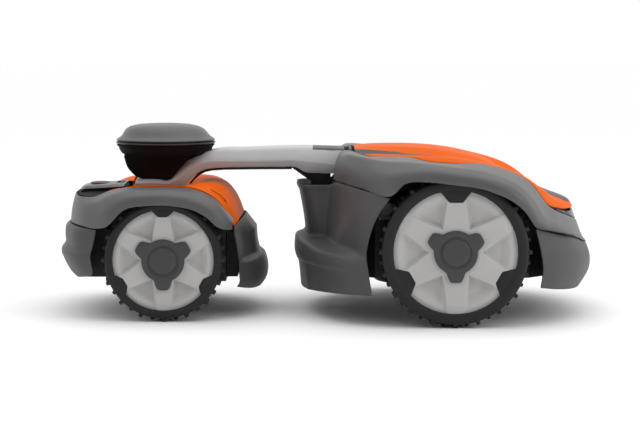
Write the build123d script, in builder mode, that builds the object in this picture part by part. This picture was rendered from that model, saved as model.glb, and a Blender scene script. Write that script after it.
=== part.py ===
"""Articulated four-wheel-drive robotic lawn mower.

Frame: +X forward (nose), +Y left, +Z up, millimetres. Origin on the ground, under the centre of the
overall box. The front unit carries the cutting deck and the bridge arm; the small rear unit steers about
a vertical shaft in the arm's foot and rolls about a pin below it.
"""

import math
import os

from build123d import *

os.makedirs("parts", exist_ok=True)

# ---------------------------------------------------------------- driving dimensions
LENGTH, WIDTH = 930.0, 550.0
FX, FR, FRT, FW, FY = 213.0, 126.4, 121.4, 56.0, 262.0  # front wheel: x, radius over cleats, tyre radius, width, outer face
RX, RR, RRT, RW, RY = -275.0, 104.4, 99.4, 50.0, 190.0  # rear wheel
F_RIM, R_RIM = 102.6, 85.3  # visible rim radii
F_AXLE, R_AXLE = 8.0, 7.0
SX = -275.0  # steering axis
ROLL_Z = 180.0  # roll axis height
DX, DISC_R, DISC_Z = 190.0, 104.0, 51.0  # cutting disc centre, radius, underside height at rest
BLADE_PIVOT_R, BLADE_REACH = 92.0, 30.0
DOME_X, DOME_R = -283.4, 88.0
SHELL_T = 2.6
GEAR_M, GEAR_Z, PINION_Z = 1.5, 36, 12

written = []


def save(part, name):
    part.label = name
    export_step(part, f"parts/{name}.step")
    written.append(name)


def mir(p):
    return (p[0], -p[1], p[2])


def skin_face(rows):
    """B-spline face through a grid of points, one list per station."""
    return Face.make_surface_from_array_of_points([[Vector(*p) for p in r] for r in rows], tol=0.3, min_deg=1, max_deg=3)


def strip(rows, t, inward, tilt=(0, 1, 0), last=None):
    """Ruled wall of thickness t along a run of stations; tilt and last are the normals of the end stations' planes."""
    n = len(rows)
    inner = []
    for i in range(n):
        a, b = rows[max(i - 1, 0)], rows[min(i + 1, n - 1)]
        line = []
        for j in range(len(rows[i])):
            lo, hi = max(j - 1, 0), min(j + 1, len(rows[i]) - 1)
            u = Vector(*b[j]) - Vector(*a[j])
            v = Vector(*rows[i][hi]) - Vector(*rows[i][lo])
            d = u.cross(v).normalized() * inward
            if i in (0, n - 1):
                k = Vector(*((last or (tilt[0], -tilt[1], tilt[2])) if i else tilt)).normalized()
                d = (d - k * d.dot(k)).normalized()
            p = Vector(*rows[i][j]) + d * t
            line.append((p.X, p.Y, p.Z))
        inner.append(line)
    wires = [Wire.make_polygon([Vector(*p) for p in o + k[::-1]], close=True) for o, k in zip(rows, inner)]
    return Solid.make_loft(wires, True)


def wrapped(half):
    """Stations on the right side (y as half-width), ending on the centre plane, carried round to the left side."""
    right = [[(p[0], -p[1], p[2]) for p in r] for r in half]
    left = [[(p[0], p[1], p[2]) for p in r] for r in reversed(half[:-1])]
    return right + left


def across(half):
    """Rows from the centre line outwards, mirrored to full width."""
    return [[(p[0], -p[1], p[2]) for p in reversed(r[1:])] + [(p[0], p[1], p[2]) for p in r] for r in half]


# ---------------------------------------------------------------- surface stations, x, half-width, z
FENDER = [
    [(32, 52, 283), (22, 52, 276), (15.5, 52, 256), (14, 52, 234)],
    [(45, 88, 283), (25, 100, 280), (16, 100, 256), (14, 95, 233.8)],
    [(58, 112, 279), (36, 160, 283), (28, 158, 256), (33, 155, 232)],
    [(72, 127, 276.5), (62, 200, 280), (55, 215, 254), (58, 216, 229)],
    [(100, 138, 277), (97, 228, 275), (98, 262, 246), (104, 262, 219)],
    [(138.8, 150, 276.6), (135, 240, 274), (135, 272, 256), (130.3, 274, 241.8)],
    [(175, 167, 270), (175, 243, 271), (172, 273, 258), (168, 274.5, 243.3)],
    [(215, 170, 267.4), (215, 245, 266), (212, 274, 253), (205, 275, 239.3)],
    [(258, 168.5, 267), (255, 246, 259.5), (252, 274.5, 246), (251, 275, 233)],
    [(294.8, 168, 258.8), (290, 245, 249), (285, 273.5, 236), (280, 274, 223.5)],
    [(320.8, 166, 249.2), (315, 243, 237), (307, 270, 224), (300, 271, 214.5)],
    [(338.4, 163, 238.6), (333, 238, 222), (325, 264, 207), (316, 266, 203.5)],
    [(352, 160, 226), (347, 232, 204), (338, 257, 190), (328, 259.5, 191.5)],
    [(365.2, 155, 208.6), (358, 227, 188), (350, 250, 174), (337.3, 254, 178.5)],
    [(376, 150, 195), (368, 219, 176), (360, 243, 167), (346, 247, 166.5)],
    [(392, 138, 184.5), (388, 203, 166), (382, 220, 158.5), (372, 223, 158)],
    [(412, 112, 175), (410, 172, 156), (404, 189, 150), (398, 188, 150)],
    [(427, 80, 167.5), (429, 125, 147.5), (426, 140, 142), (424, 141, 140.5)],
    [(438, 42, 160), (443, 65, 140.5), (447, 72, 131.5), (451, 74, 126)],
    [(442.5, 0, 157), (447.5, 0, 138), (453, 0, 129), (460, 0, 119.5)],
]
HOOD = [
    [(49 + (286 - z) * 13 / 7, y, z) for y, z in ((0, 286), (35, 286), (62, 285), (94, 281), (109, 279))],
    [(72, 0, 288.8), (72, 55, 288), (80, 80, 284), (84, 112, 281.2), (84, 129, 278)],
    [(104, 0, 289.5), (104, 65, 288.5), (110, 90, 281), (112, 124, 281), (112, 139, 278.2)],
    [(136, 0, 289.6), (136, 72, 288), (145, 98, 278), (140, 135, 280.3), (140, 147, 277.4)],
    [(183.5, 0, 288), (183, 82, 285), (190, 105, 275), (180, 142, 279), (178, 163, 271)],
    [(231, 0, 281), (231, 88, 277), (235, 110, 270), (225, 143, 275.5), (222, 167, 268.2)],
    [(263, 0, 273.7), (263, 90, 268.5), (265, 112, 264), (258, 143, 270.3), (258, 165, 267.5)],
    [(292, 0, 260.3), (292, 85, 256), (294, 112, 254), (295, 143, 260.8), (295, 164.5, 259.6)],
    [(318, 0, 243), (318, 70, 242), (320, 108, 243.5), (322, 141, 251.8), (321, 162.5, 250)],
    [(345, 0, 228), (345, 60, 228), (347, 100, 229), (344, 137, 240.5), (340, 159, 239)],
    [(372, 0, 216), (372, 52, 216), (374, 88, 215), (366, 130, 223.5), (354, 155.5, 226)],
    [(392, 0, 208), (392, 45, 207.5), (392, 78, 205), (385, 112, 207), (369, 148, 206)],
    [(419, 0, 198.7), (416, 34, 198), (410, 62, 197), (402, 92, 195.5), (384, 137, 192.5)],
    [(430, 0, 191.5), (427, 28, 191), (421, 52, 190), (413, 80, 189), (402, 108, 187)],
    [(436, 0, 181)] + [(x, y, 181 + (436 - x) / 5.35) for x, y in ((433, 25), (428, 48), (421, 72), (413, 90))],
]
NOSE_PANEL = [
    [(390, 135, 188.5), (393, 135, 186.6)],
    [(404, 112, 183), (410.5, 110, 177.5)],
    [(415, 92, 180.8), (424.5, 82, 171)],
    [(428, 50, 178.2), (436, 43, 163.5)],
    [(435.5, 0, 177), (441, 0, 160.5)],
]
BUMPER = [
    [(347, 242, 163.5), (356, 242, 125), (360, 242, 99), (357, 242, 64)],
    [(372, 221, 155.8), (382, 222, 120), (386, 218, 92), (380, 212, 59)],
    [(398, 186, 147.8), (410, 188, 115), (414, 183, 88), (404, 176, 54)],
    [(424, 139, 138.3), (437, 138, 110), (440, 134, 84), (426, 128, 50)],
    [(450.5, 74, 123.5), (459, 72, 102), (459, 70, 80), (442, 66, 48)],
    [(459.5, 0, 117), (465, 0, 99), (464, 0, 79), (446, 0, 47.5)],
]
REAR_SKIRT = [
    [(104, 254, 216), (85, 254, 190), (70, 254, 152), (64, 254, 118), (66, 254, 107), (68, 254, 89), (72, 254, 70), (75, 254, 52.5)],
    [(80, 242, 222), (64, 234, 190), (50, 222, 155), (42, 205, 122), (38, 230, 111), (40, 233, 89), (43, 233, 62), (46, 230, 51)],
    [(58, 215, 226.5), (46, 205, 190), (34, 190, 158), (24, 168, 127), (14, 206, 115), (15, 209, 90), (18, 209, 58), (20, 206, 50)],
    [(33, 154, 229), (26, 146, 190), (18, 132, 160), (10, 118, 131), (-16, 156, 118.5), (-18, 159, 92), (-16, 159, 56), (-11, 155, 47)],
    [(13, 92, 229.5), (9, 88, 190), (6, 84, 165), (3, 80, 134), (-32, 116, 124), (-35, 119, 94), (-33, 119, 55), (-27, 115, 44)],
    [(-14, 79, 224), (-12, 74, 190), (-11, 70, 165), (-10, 66, 133.5), (-43, 84, 127.5), (-45.5, 87, 97), (-43, 87, 55), (-36, 84, 43)],
    [(-40, 71, 223.6), (-33, 62, 190), (-30, 57, 165), (-27, 52, 134), (-49.5, 56, 130), (-51.5, 58, 98), (-49.5, 58, 57), (-42, 56, 42.5)],
    [(-47.5, 36, 225), (-41, 32, 190), (-37, 29, 165), (-34, 27, 138), (-53.5, 29, 132), (-54.5, 30, 99), (-53, 30, 59), (-45, 29, 43.5)],
    [(-49.3, 0, 225.5), (-43, 0, 190), (-39, 0, 165), (-36.5, 0, 140), (-54.8, 0, 133), (-55.5, 0, 100), (-54, 0, 60), (-46, 0, 44)],
]
REAR_HOOD = [
    [(-345, 0, 214), (-345, 40, 214.5), (-345, 80, 216.5), (-345, 115, 219.5), (-346, 147, 221.5)],
    [(-330, 0, 209), (-330, 40, 209.5), (-330, 80, 214), (-330, 115, 220), (-330, 149, 224)],
    [(-300, 0, 207), (-300, 40, 207), (-300, 80, 212), (-300, 115, 220), (-300, 152, 225.5)],
    [(-270, 0, 207), (-270, 40, 207), (-270, 80, 212.5), (-270, 115, 221), (-270, 152, 226)],
    [(-240, 0, 209), (-240, 40, 210.5), (-240, 80, 218), (-240, 115, 223.5), (-240, 152, 225)],
    [(-218, 0, 222), (-218, 40, 223.5), (-218, 80, 227), (-217, 115, 226.5), (-215, 151.5, 220)],
    [(-197, 0, 225), (-197, 40, 225), (-197, 80, 224), (-196, 115, 219), (-194, 150.5, 211)],
    [(-178, 0, 218.5), (-178, 40, 218), (-179, 80, 214), (-180, 115, 207), (-181, 148, 199)],
    [(-163.7, 0, 206), (-164, 40, 204.5), (-166, 75, 199), (-169, 108, 190.5), (-173, 142, 186)],
    [(-153.2, 0, 188.7), (-154, 40, 186.5), (-157, 72, 182), (-161, 102, 176), (-165, 134, 175)],
    [(-146, 0, 172.5), (-147, 38, 172), (-150, 70, 172), (-155, 98, 173), (-160, 125, 173)],
]
REAR_DECK = [
    [(-434, 0, 211), (-433, 30, 211), (-432, 52, 210), (-430, 72, 209), (-427, 92, 208.5)],
    [(-415, 0, 214), (-415, 35, 213.5), (-414, 62, 211.5), (-412, 90, 209), (-409, 118, 208)],
    [(-392, 0, 216.5), (-392, 40, 216), (-391, 70, 213), (-390, 100, 210), (-388, 130, 209.5)],
    [(-368, 0, 218), (-368, 40, 217.5), (-368, 75, 215), (-367, 110, 216), (-366, 139, 218)],
    [(-350, 0, 216), (-350, 40, 216.5), (-350, 78, 217), (-350, 112, 219), (-350, 143, 221)],
]
HMI = [
    [(-431, 0, 216.5), (-430.5, 20, 216.3), (-429, 40, 215.3), (-427, 56, 213.5)],
    [(-418, 0, 220), (-418, 20, 219.7), (-417, 42, 218.5), (-416, 62, 215.5)],
    [(-392, 0, 222), (-392, 22, 221.7), (-392, 44, 220.5), (-392, 66, 217)],
    [(-366, 0, 223.5), (-366, 22, 223.2), (-366, 45, 222), (-366, 68, 219)],
    [(-352, 0, 223.8), (-352, 22, 223.5), (-352, 46, 222.3), (-352, 69, 220)],
]
REAR_FENDER = [
    [(-158, 139, 171), (-158, 162, 169), (-158, 175, 164), (-158, 177, 155.5)],
    [(-175.4, 148, 190.5), (-171, 174, 186), (-169, 188, 173), (-170, 190, 157)],
    [(-189.3, 153, 206.5), (-186, 181, 201), (-184, 196, 185), (-184, 198, 163)],
    [(-207, 154.5, 216.5), (-205, 185, 211), (-202, 200, 197), (-200, 201.5, 178)],
    [(-227, 155, 223), (-226, 187, 219), (-224, 203, 206), (-222, 204.5, 190.5)],
    [(-255, 155.5, 226), (-255, 188, 223.5), (-255, 204, 212), (-255, 205.5, 197.5)],
    [(-299.4, 155.5, 226), (-300, 188, 224), (-300, 204, 213), (-300, 205.5, 198.3)],
    [(-341.4, 151, 225), (-341, 185, 221), (-341, 202, 207), (-340.4, 204, 190.2)],
    [(-368.7, 145, 219), (-368, 178, 212), (-369, 195, 190), (-368, 197, 163.5)],
    [(-392.5, 136, 209.3), (-392, 165, 200), (-392, 176, 180), (-391, 178, 157.5)],
    [(-412, 124, 207.5), (-414, 144, 196), (-415, 152, 180), (-414, 154, 159.5)],
    [(-428, 100, 208), (-432, 108, 196), (-434, 112, 181), (-436, 112, 161.5)],
    [(-436, 60, 209.5), (-440, 62, 196), (-443, 62, 181), (-445, 62, 163)],
    [(-438, 0, 209.5), (-442, 0, 196), (-445, 0, 181), (-447.6, 0, 164)],
]
BACK_Z = [(160.5, 0.5), (154, 8), (141, 10), (123, 10), (113.5, 17.4), (107.5, 17.4), (90, 10), (71, 0), (59, -11)]
BACK_PLAN = [  # x, half-width, outward normal in plan, share of the outward offset
    (-392, 174, -0.75, 0.0, 0.35, -6),
    (-414, 153, -0.75, 0.66, 0.7, -3),
    (-436, 111, -0.90, 0.43, 0.95, -1),
    (-445, 61, -0.98, 0.2, 1.0, 0),
    (-447.5, 0, -1.0, 0.0, 1.0, 0),
]
REAR_BACK = [[(x + nx * e * f, max(w + nw * e * f, 0), z + dz) for z, e in BACK_Z] for x, w, nx, nw, f, dz in BACK_PLAN]
REAR_FRONT = [
    [(-156, 138, 154), (-155.6, 138, 146), (-151, 138, 122), (-148, 138, 100), (-147.5, 138, 92), (-147.5, 138, 80), (-148, 138, 58), (-152, 138, 53)],
    [(-150, 104, 162), (-147, 96, 141), (-144, 98, 120), (-141, 102, 101), (-134, 116, 93), (-131, 118, 82), (-131, 118, 57), (-137, 114, 48)],
    [(-146, 72, 166), (-134, 64, 141), (-133, 66, 118), (-130, 70, 102), (-121, 84, 95.5), (-117, 86, 84), (-117, 86, 56), (-125, 82, 44.5)],
    [(-143, 45, 167.5), (-125.5, 45, 144), (-123.5, 45, 119), (-120.5, 45, 105), (-112, 47, 98), (-107.5, 48, 86), (-108, 48, 56), (-117, 46, 43)],
    [(-142, 0, 168), (-123.5, 0, 145), (-121.6, 0, 120), (-118.7, 0, 106.5), (-109, 0, 99), (-104.7, 0, 87), (-105.4, 0, 56), (-115, 0, 43)],
]


# ---------------------------------------------------------------- builder helpers
def blk(x, y, z, mode=Mode.ADD):
    with Locations(((x[0] + x[1]) / 2, (y[0] + y[1]) / 2, (z[0] + z[1]) / 2)):
        Box(x[1] - x[0], y[1] - y[0], z[1] - z[0], mode=mode)


def rod(axis, c, r, a, mode=Mode.ADD):
    mid, h = (a[0] + a[1]) / 2, a[1] - a[0]
    at, rot = {"X": ((mid, c[0], c[1]), (0, 90, 0)), "Y": ((c[0], mid, c[1]), (90, 0, 0)), "Z": ((c[0], c[1], mid), (0, 0, 0))}[axis]
    with Locations(at):
        Cylinder(r, h, rotation=rot, mode=mode)


def plan(pts, z, mode=Mode.ADD):
    with BuildSketch(Plane.XY.offset(z[0])) as outline:
        with BuildLine():
            Polyline(*pts, close=True)
        make_face()
    extrude(outline.sketch, amount=z[1] - z[0], mode=mode)


def side(pts, y, mode=Mode.ADD):
    with BuildSketch(Plane.XZ.offset(-y[1])) as outline:
        with BuildLine():
            Polyline(*pts, close=True)
        make_face()
    extrude(outline.sketch, amount=y[1] - y[0], mode=mode)


def turned(pts, centre=(0, 0)):
    """Revolve an (r, z) outline about a vertical axis."""
    with BuildSketch(Plane.XZ) as outline:
        with BuildLine():
            Polyline(*[(centre[0] + r, z) for r, z in pts], close=True)
        make_face()
    revolve(outline.sketch, axis=Axis((centre[0], 0, 0), (0, 0, 1)))


def inset(pts, d):
    """Shrink a convex outline towards its middle by roughly d."""
    cx, cy = sum(p[0] for p in pts) / len(pts), sum(p[1] for p in pts) / len(pts)
    out = []
    for x, y in pts:
        r = math.hypot(x - cx, y - cy)
        out.append((x - d * 1.25 * (x - cx) / r, y - d * 1.25 * (y - cy) / r))
    return out


# ---------------------------------------------------------------- wheels, drawn about their own axle, outer face at y = 0
def turn_pts(pts, deg):
    c, q = math.cos(math.radians(deg)), math.sin(math.radians(deg))
    return [(x * c - z * q, x * q + z * c) for x, z in pts]


def tab_pts(rim, tab_w, tab_in, tab_d, gap):
    g = gap
    return [(-tab_w / 2 - g, rim + 3), (-tab_w / 2 - g, rim - 2), (-tab_in / 2 - g, rim - tab_d - g), (tab_in / 2 + g, rim - tab_d - g), (tab_w / 2 + g, rim - 2), (tab_w / 2 + g, rim + 3)]


def make_tyre(r_out, r_tyre, width, rim, tab, rows, cleats):
    with BuildPart() as tyre:
        rod("Y", (0, 0), r_tyre, (3, width - 3))
        rod("Y", (0, 0), r_tyre - 7, (0, width))
        for k in range(rows):
            y0, y1 = 4 + k * (width - 6) / rows, 2 + (k + 1) * (width - 6) / rows
            for i in range(cleats):
                a = 360 * (i + 0.5 * (k % 2)) / cleats
                p = turn_pts([(-3.5, r_tyre - 4), (3.5, r_tyre - 4), (2.8, r_out), (-2.8, r_out)], a)
                side(p, (y0, y1))
        rod("Y", (0, 0), rim, (-1, width + 1), Mode.SUBTRACT)
        for a in (0, 120, 240):
            side(turn_pts(tab_pts(rim, *tab, 0), a), (1.5, 12))
    return tyre.part


def make_rim(width, rim, tab, axle, spokes=6):
    with BuildPart() as wheel:
        rod("Y", (0, 0), rim, (1, width - 1))
        rod("Y", (0, 0), rim - 6, (13.5, width + 1), Mode.SUBTRACT)
        for i in range(spokes):
            pts = [(-3, 43), (3, 43), (24 * rim / 102.6, 88 * rim / 102.6), (12 * rim / 102.6, 93 * rim / 102.6), (-12 * rim / 102.6, 93 * rim / 102.6), (-24 * rim / 102.6, 88 * rim / 102.6)]
            side(turn_pts(pts, 30 + 60 * i), (0, 8), Mode.SUBTRACT)
        for a in (0, 120, 240):
            side(turn_pts(tab_pts(rim, *tab, 0.15), a), (0, 12.3), Mode.SUBTRACT)
        rod("Y", (0, 0), 22, (13, width - 2))
        rod("Y", (0, 0), axle - 0.05, (width - 4, width + 40))
    return wheel.part


def make_cap():
    with BuildPart() as cap:
        rod("Y", (0, 0), 36, (-4.5, 1))
        for a in (30, 150, 270):
            c, q = 37 * math.cos(math.radians(a)), 37 * math.sin(math.radians(a))
            rod("Y", (c, q), 13, (-4.5, 1))
        rod("Y", (0, 0), 23, (-7, -4))
    return cap.part


F_TAB, R_TAB = (50, 22.4, 20), (34.6, 16.7, 11.4)
f_tyre = make_tyre(FR, FRT, FW, F_RIM, F_TAB, 3, 20)
r_tyre = make_tyre(RR, RRT, RW, R_RIM, R_TAB, 3, 16)
f_rim = make_rim(FW, F_RIM, F_TAB, F_AXLE)
r_rim = make_rim(RW, R_RIM, R_TAB, R_AXLE)
hub_cap = make_cap()

# ---------------------------------------------------------------- front unit, fixed pieces
F_PLAN = [(24, -90), (38, -124), (66, -172), (82, -186), (340, -186), (396, -130), (418, -60), (418, 60), (396, 130), (340, 186), (82, 186), (66, 172), (38, 124), (24, 90)]
TUB_Z, TUB_TOP = 75.0, 170.0
LID = (170.0, 173.0)
CAN_R = 30.0

with BuildPart() as front_chassis_tub:
    plan(F_PLAN, (TUB_Z, TUB_TOP))
    plan(inset(F_PLAN, 3.2), (TUB_Z + 3, TUB_TOP + 1), Mode.SUBTRACT)
    rod("Z", (DX, 0), CAN_R + 4, (TUB_Z, TUB_Z + 12))
    rod("Z", (DX, 0), CAN_R + 1.5, (TUB_Z - 1, TUB_Z + 13), Mode.SUBTRACT)
    for s in (-1, 1):
        rod("Y", (FX, FR), 20.1, (s * 186 - 12, s * 186 + 12), Mode.SUBTRACT)
        rod("Z", (DX, s * 50), 8, (TUB_Z + 2, TUB_Z + 12))
        rod("Z", (DX, s * 50), 4, (TUB_Z + 5, TUB_Z + 17), Mode.SUBTRACT)
    rod("Z", (DX - 52, 0), 8, (TUB_Z + 2, TUB_Z + 12))
    rod("Z", (DX - 52, 0), 4.05, (TUB_Z + 4, TUB_Z + 15), Mode.SUBTRACT)
    blk((10, 25), (-34, 34), (84, 166))

POSTS = [(78, -120), (78, 120), (330, -120), (330, 120)]
with BuildPart() as front_chassis_lid:
    plan(F_PLAN, LID)
    for s in (-1, 1):
        rod("Z", (DX, s * 50), 8, (LID[0] - 8, LID[1]))
        rod("Z", (DX, s * 50), 4, (LID[0] - 9, LID[1] - 2), Mode.SUBTRACT)
    rod("Z", (DX - 52, 0), 4.05, (LID[0] - 1, LID[1] + 1), Mode.SUBTRACT)
    for p in POSTS:
        rod("Z", p, 9, (LID[0], LID[1] + 6))
        rod("Z", p, 4, (LID[0] + 3, LID[1] + 7), Mode.SUBTRACT)

with BuildPart() as cover_posts:
    for p in POSTS:
        rod("Z", p, 4, (LID[0] + 3, 198))
        with Locations((p[0], p[1], 198)):
            Sphere(6)

with BuildPart() as lid_screws:
    for x, y in [(90, 178), (90, -178), (150, 180), (150, -180), (300, 180), (300, -180), (406, 60), (406, -60), (34, 80), (34, -80)]:
        rod("Z", (x, y), 3, (LID[1], LID[1] + 2))


def wheel_motor(x, z, r, nose_r, y_in, y_wall, y_nose, axle, s):
    with BuildPart() as motor:
        rod("Y", (x, z), r, tuple(sorted((s * y_in, s * y_wall))))
        rod("Y", (x, z), nose_r, tuple(sorted((s * (y_wall - 1), s * y_nose))))
        rod("Y", (x, z), axle, tuple(sorted((s * (y_nose - 52), s * (y_nose + 1)))), Mode.SUBTRACT)
    return motor.part


with BuildPart() as front_wheel_motors:
    for s in (-1, 1):
        add(wheel_motor(FX, FR, 36, 20.1, 110, 182.6, 202, F_AXLE, s))

with BuildPart() as control_board:
    blk((40, 128), (-70, 70), (90, 91.6))
    blk((60, 90), (-20, 20), (91.6, 96))
    blk((50, 58), (-60, 60), (91.6, 101))
    for x in (46, 122):
        for y in (-64, 64):
            rod("Z", (x, y), 3, (TUB_Z + 3, 90))

with BuildPart() as cutter_guides:
    for s in (-1, 1):
        rod("Z", (DX, s * 50), 4, (TUB_Z + 5, LID[1] - 2))

with BuildPart() as charging_contacts:
    for s in (-1, 1):
        blk((388, 414), sorted((s * 24, s * 42)), (TUB_Z - 3, TUB_Z))

ARM_TOP = [(-244, 262.8), (-205.5, 280), (-196, 281.5), (-179.5, 283.6), (-152.8, 284.3), (-117, 285.6), (-64, 286), (-28, 286), (32, 284.5)]
ARM_LOW = [(32, 242), (-37, 242.8), (-54.5, 252.3), (-116, 252.6), (-177, 251.3), (-201.6, 250), (-218.4, 247), (-227.6, 238.5), (-234, 230), (-273.5, 230)]
FOOT = [(-336, 0), (-333.5, -16), (-325, -28), (-305, -36), (-280, -39), (-258, -38), (-247, -33), (-243.5, -20), (-243, 0), (-243.5, 20), (-247, 33), (-258, 38), (-280, 39), (-305, 36), (-325, 28), (-333.5, 16)]
with BuildPart() as bridge_arm:
    side(ARM_TOP + ARM_LOW, (-48, 48))
    blk((-280, -216), (-49, -36), (228, 290), Mode.SUBTRACT)
    blk((-280, -216), (36, 49), (228, 290), Mode.SUBTRACT)
    side([(-236, 262.5), (-204, 277), (-179.5, 280.4), (-64, 283), (26, 282), (26, 246), (-35, 246), (-53, 255.5), (-177, 254.5), (-202, 253.2), (-221, 250), (-232, 240), (-238, 234), (-263, 234)], (-33, 33), Mode.SUBTRACT)
    plan(FOOT, (216, 230))
    rod("Z", (SX, 0), 25.6, (219, 228), Mode.SUBTRACT)
    rod("Z", (SX - 30, 0), 11, (219, 228), Mode.SUBTRACT)
    rod("Z", (SX, 0), 6.06, (215, 234.5), Mode.SUBTRACT)
    rod("Z", (SX - 30, 0), 2.52, (227, 231), Mode.SUBTRACT)
    rod("Z", (SX - 30, 0), 2.02, (216.8, 220), Mode.SUBTRACT)

with BuildPart() as arm_liner:
    side([(-62.5, 246.5), (-62.5, 252.2), (-116, 252.6), (-177, 251.3), (-201.6, 250), (-218.4, 247), (-227.6, 238.5), (-232, 232.6), (-228, 231), (-222, 238), (-214, 242.5), (-200, 244.8), (-177, 246), (-116, 247)], (-30, 30))

with BuildPart() as arm_mast:
    side([(10, 86), (10, 166), (8, 200), (8, 241.8), (-26, 242.6), (-27, 200), (-24, 150), (-6, 98), (0, 86)], (-32, 32))
    side([(-62, 250.8), (-52, 250.8), (-38, 242.4), (-20, 242.4), (-22, 224), (-34, 231)], (-22, 22))
    add(bridge_arm.part, mode=Mode.SUBTRACT)

TRAY = [(0, 272), (74, 272), (80, 280), (80, 288), (84, 289), (86, 290.5), (0, 290.5)]
with BuildPart() as receiver_stand:
    side([(-352, 272), (-352, 256), (-344.7, 243), (-331.7, 230.2), (-274, 230.2), (-244.8, 263), (-225, 272)], (-32, 32))
    add(bridge_arm.part, mode=Mode.SUBTRACT)
    blk((-327, -283), (-19, 19), (229, 269.5), Mode.SUBTRACT)

with BuildPart() as receiver_tray:
    turned(TRAY, (DOME_X, 0))
    rod("Z", (DOME_X, 0), 70, (275, 291), Mode.SUBTRACT)
    side([(-246, 262), (-205.5, 280.05), (-196, 281.55), (-196, 260)], (-60, 60), Mode.SUBTRACT)

with BuildPart() as receiver_dome:
    turned([(0, 324.5), (60, 316), (72, 308), (84, 298), (85, 290.6), (88, 290.6), (88, 297), (80, 303.5), (68, 316), (40, 323.5), (0, 327)], (DOME_X, 0))

with BuildPart() as steering_motor:
    rod("Z", (SX - 30, 0), 14.5, (231, 266))
    rod("Z", (SX - 30, 0), 2.47, (230.4, 231.5))

with BuildPart() as steering_pinion:
    rod("Z", (SX - 30, 0), 8.2, (220, 226))
    rod("Z", (SX - 30, 0), 2.47, (219.2, 230.2))
    rod("Z", (SX - 30, 0), 1.97, (217, 219.4))
    for i in range(12):
        c, q = math.cos(math.radians(30 * i)), math.sin(math.radians(30 * i))
        rod("Z", (SX - 30 + 7.9 * c, 7.9 * q), 1.45, (219.5, 226.5), Mode.SUBTRACT)

# ---------------------------------------------------------------- cover of the front unit
with BuildPart() as front_fender_cover:
    add(strip(wrapped(FENDER), SHELL_T, 1))
with BuildPart() as front_top_cover:
    add(strip(across(HOOD), SHELL_T, -1, (7, 0, 13), (1, 0, 5.35)))
with BuildPart() as headlight_lenses:
    for k in (-1, 1):
        blk((398, 409), sorted((k * 99, k * 109)), (176.2, 181.2))
with BuildPart() as nose_panel:
    add(strip(wrapped(NOSE_PANEL), SHELL_T, 1))
    add(headlight_lenses.part, mode=Mode.SUBTRACT)
with BuildPart() as front_bumper:
    add(strip(wrapped(BUMPER), SHELL_T, 1))
with BuildPart() as front_rear_skirt:
    add(strip(wrapped(REAR_SKIRT), SHELL_T, 1))

with BuildPart() as hood_collar:
    blk((40, 44), (-50, 50), (256, 284.5))
    side([(30, 262), (30, 241), (44, 241), (44, 283), (40, 284)], (-52, -49.5))
    side([(30, 262), (30, 241), (44, 241), (44, 283), (40, 284)], (49.5, 52))
    blk((40, 44), (-52, 52), (241, 257))
    blk((40, 96), (-60, 60), (262, 265))

with BuildPart() as cover_frame:
    for x in ((64, 100), (296, 344)):
        blk(x, (-136, 136), (211, 215))
    for p in POSTS:
        rod("Z", p, 16, (190, 215))
        rod("Z", p, 13, (189, 211), Mode.SUBTRACT)
    for k in (-1, 1):
        blk((68, 326), sorted((k * 117, k * 122)), (214, 232))
        blk((170, 178), sorted((k * 119, k * 196)), (225, 232))
        blk((90, 98), sorted((k * 60, k * 121)), (214, 262))
        blk((300, 308), sorted((k * 60, k * 121)), (214, 236))
    blk((90, 98), (-100, 100), (250, 262))
    blk((300, 308), (-100, 100), (224, 236))



PADS = [(94, 80, 262, 3.5, 279.9), (304, 70, 236, 3.5, 243.3), (174, 190, 232, 3.5, 267.4)]  # x, half-width, foot, radius, top
with BuildPart() as cover_frame_all:
    add(cover_frame.part)
    for x, w, z0, r, z1 in PADS:
        for k in (-1, 1):
            rod("Z", (x, k * w), r, (z0 - 3, z1))

# ---------------------------------------------------------------- steering yoke
with BuildPart() as steering_yoke:
    blk((SX - 39, SX + 39), (-15, 15), (168, 194))
    rod("Z", (SX, 0), 9, (190, 204))
    rod("Z", (SX, 0), 6, (200, 230))
    rod("X", (0, ROLL_Z), 5, (SX - 45, SX + 45), Mode.SUBTRACT)

with BuildPart() as steering_gear:
    rod("Z", (SX, 0), 21.8, (220, 226))
    for i in range(36):
        a = math.radians(10 * i)
        rod("Z", (SX + 22.3 * math.cos(a), 22.3 * math.sin(a)), 1.0, (220, 226))
    rod("Z", (SX, 0), 6, (219, 227), Mode.SUBTRACT)

with BuildPart() as roll_pin:
    rod("X", (0, ROLL_Z), 5, (SX - 59, SX + 59))

with BuildPart() as gimbal_cap:
    with Locations((SX, 0, ROLL_Z)):
        Sphere(48)
        Sphere(45, mode=Mode.SUBTRACT)
    blk((SX - 60, SX + 60), (-60, 60), (100, 202), Mode.SUBTRACT)
    blk((SX - 60, SX + 60), (-60, 60), (213, 260), Mode.SUBTRACT)
    rod("Z", (SX, 0), 33, (210, 213))
    rod("Z", (SX, 0), 12, (204, 213))
    rod("Z", (SX, 0), 6, (199, 214), Mode.SUBTRACT)
    rod("Z", (SX, 0), 9, (199, 204), Mode.SUBTRACT)

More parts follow.
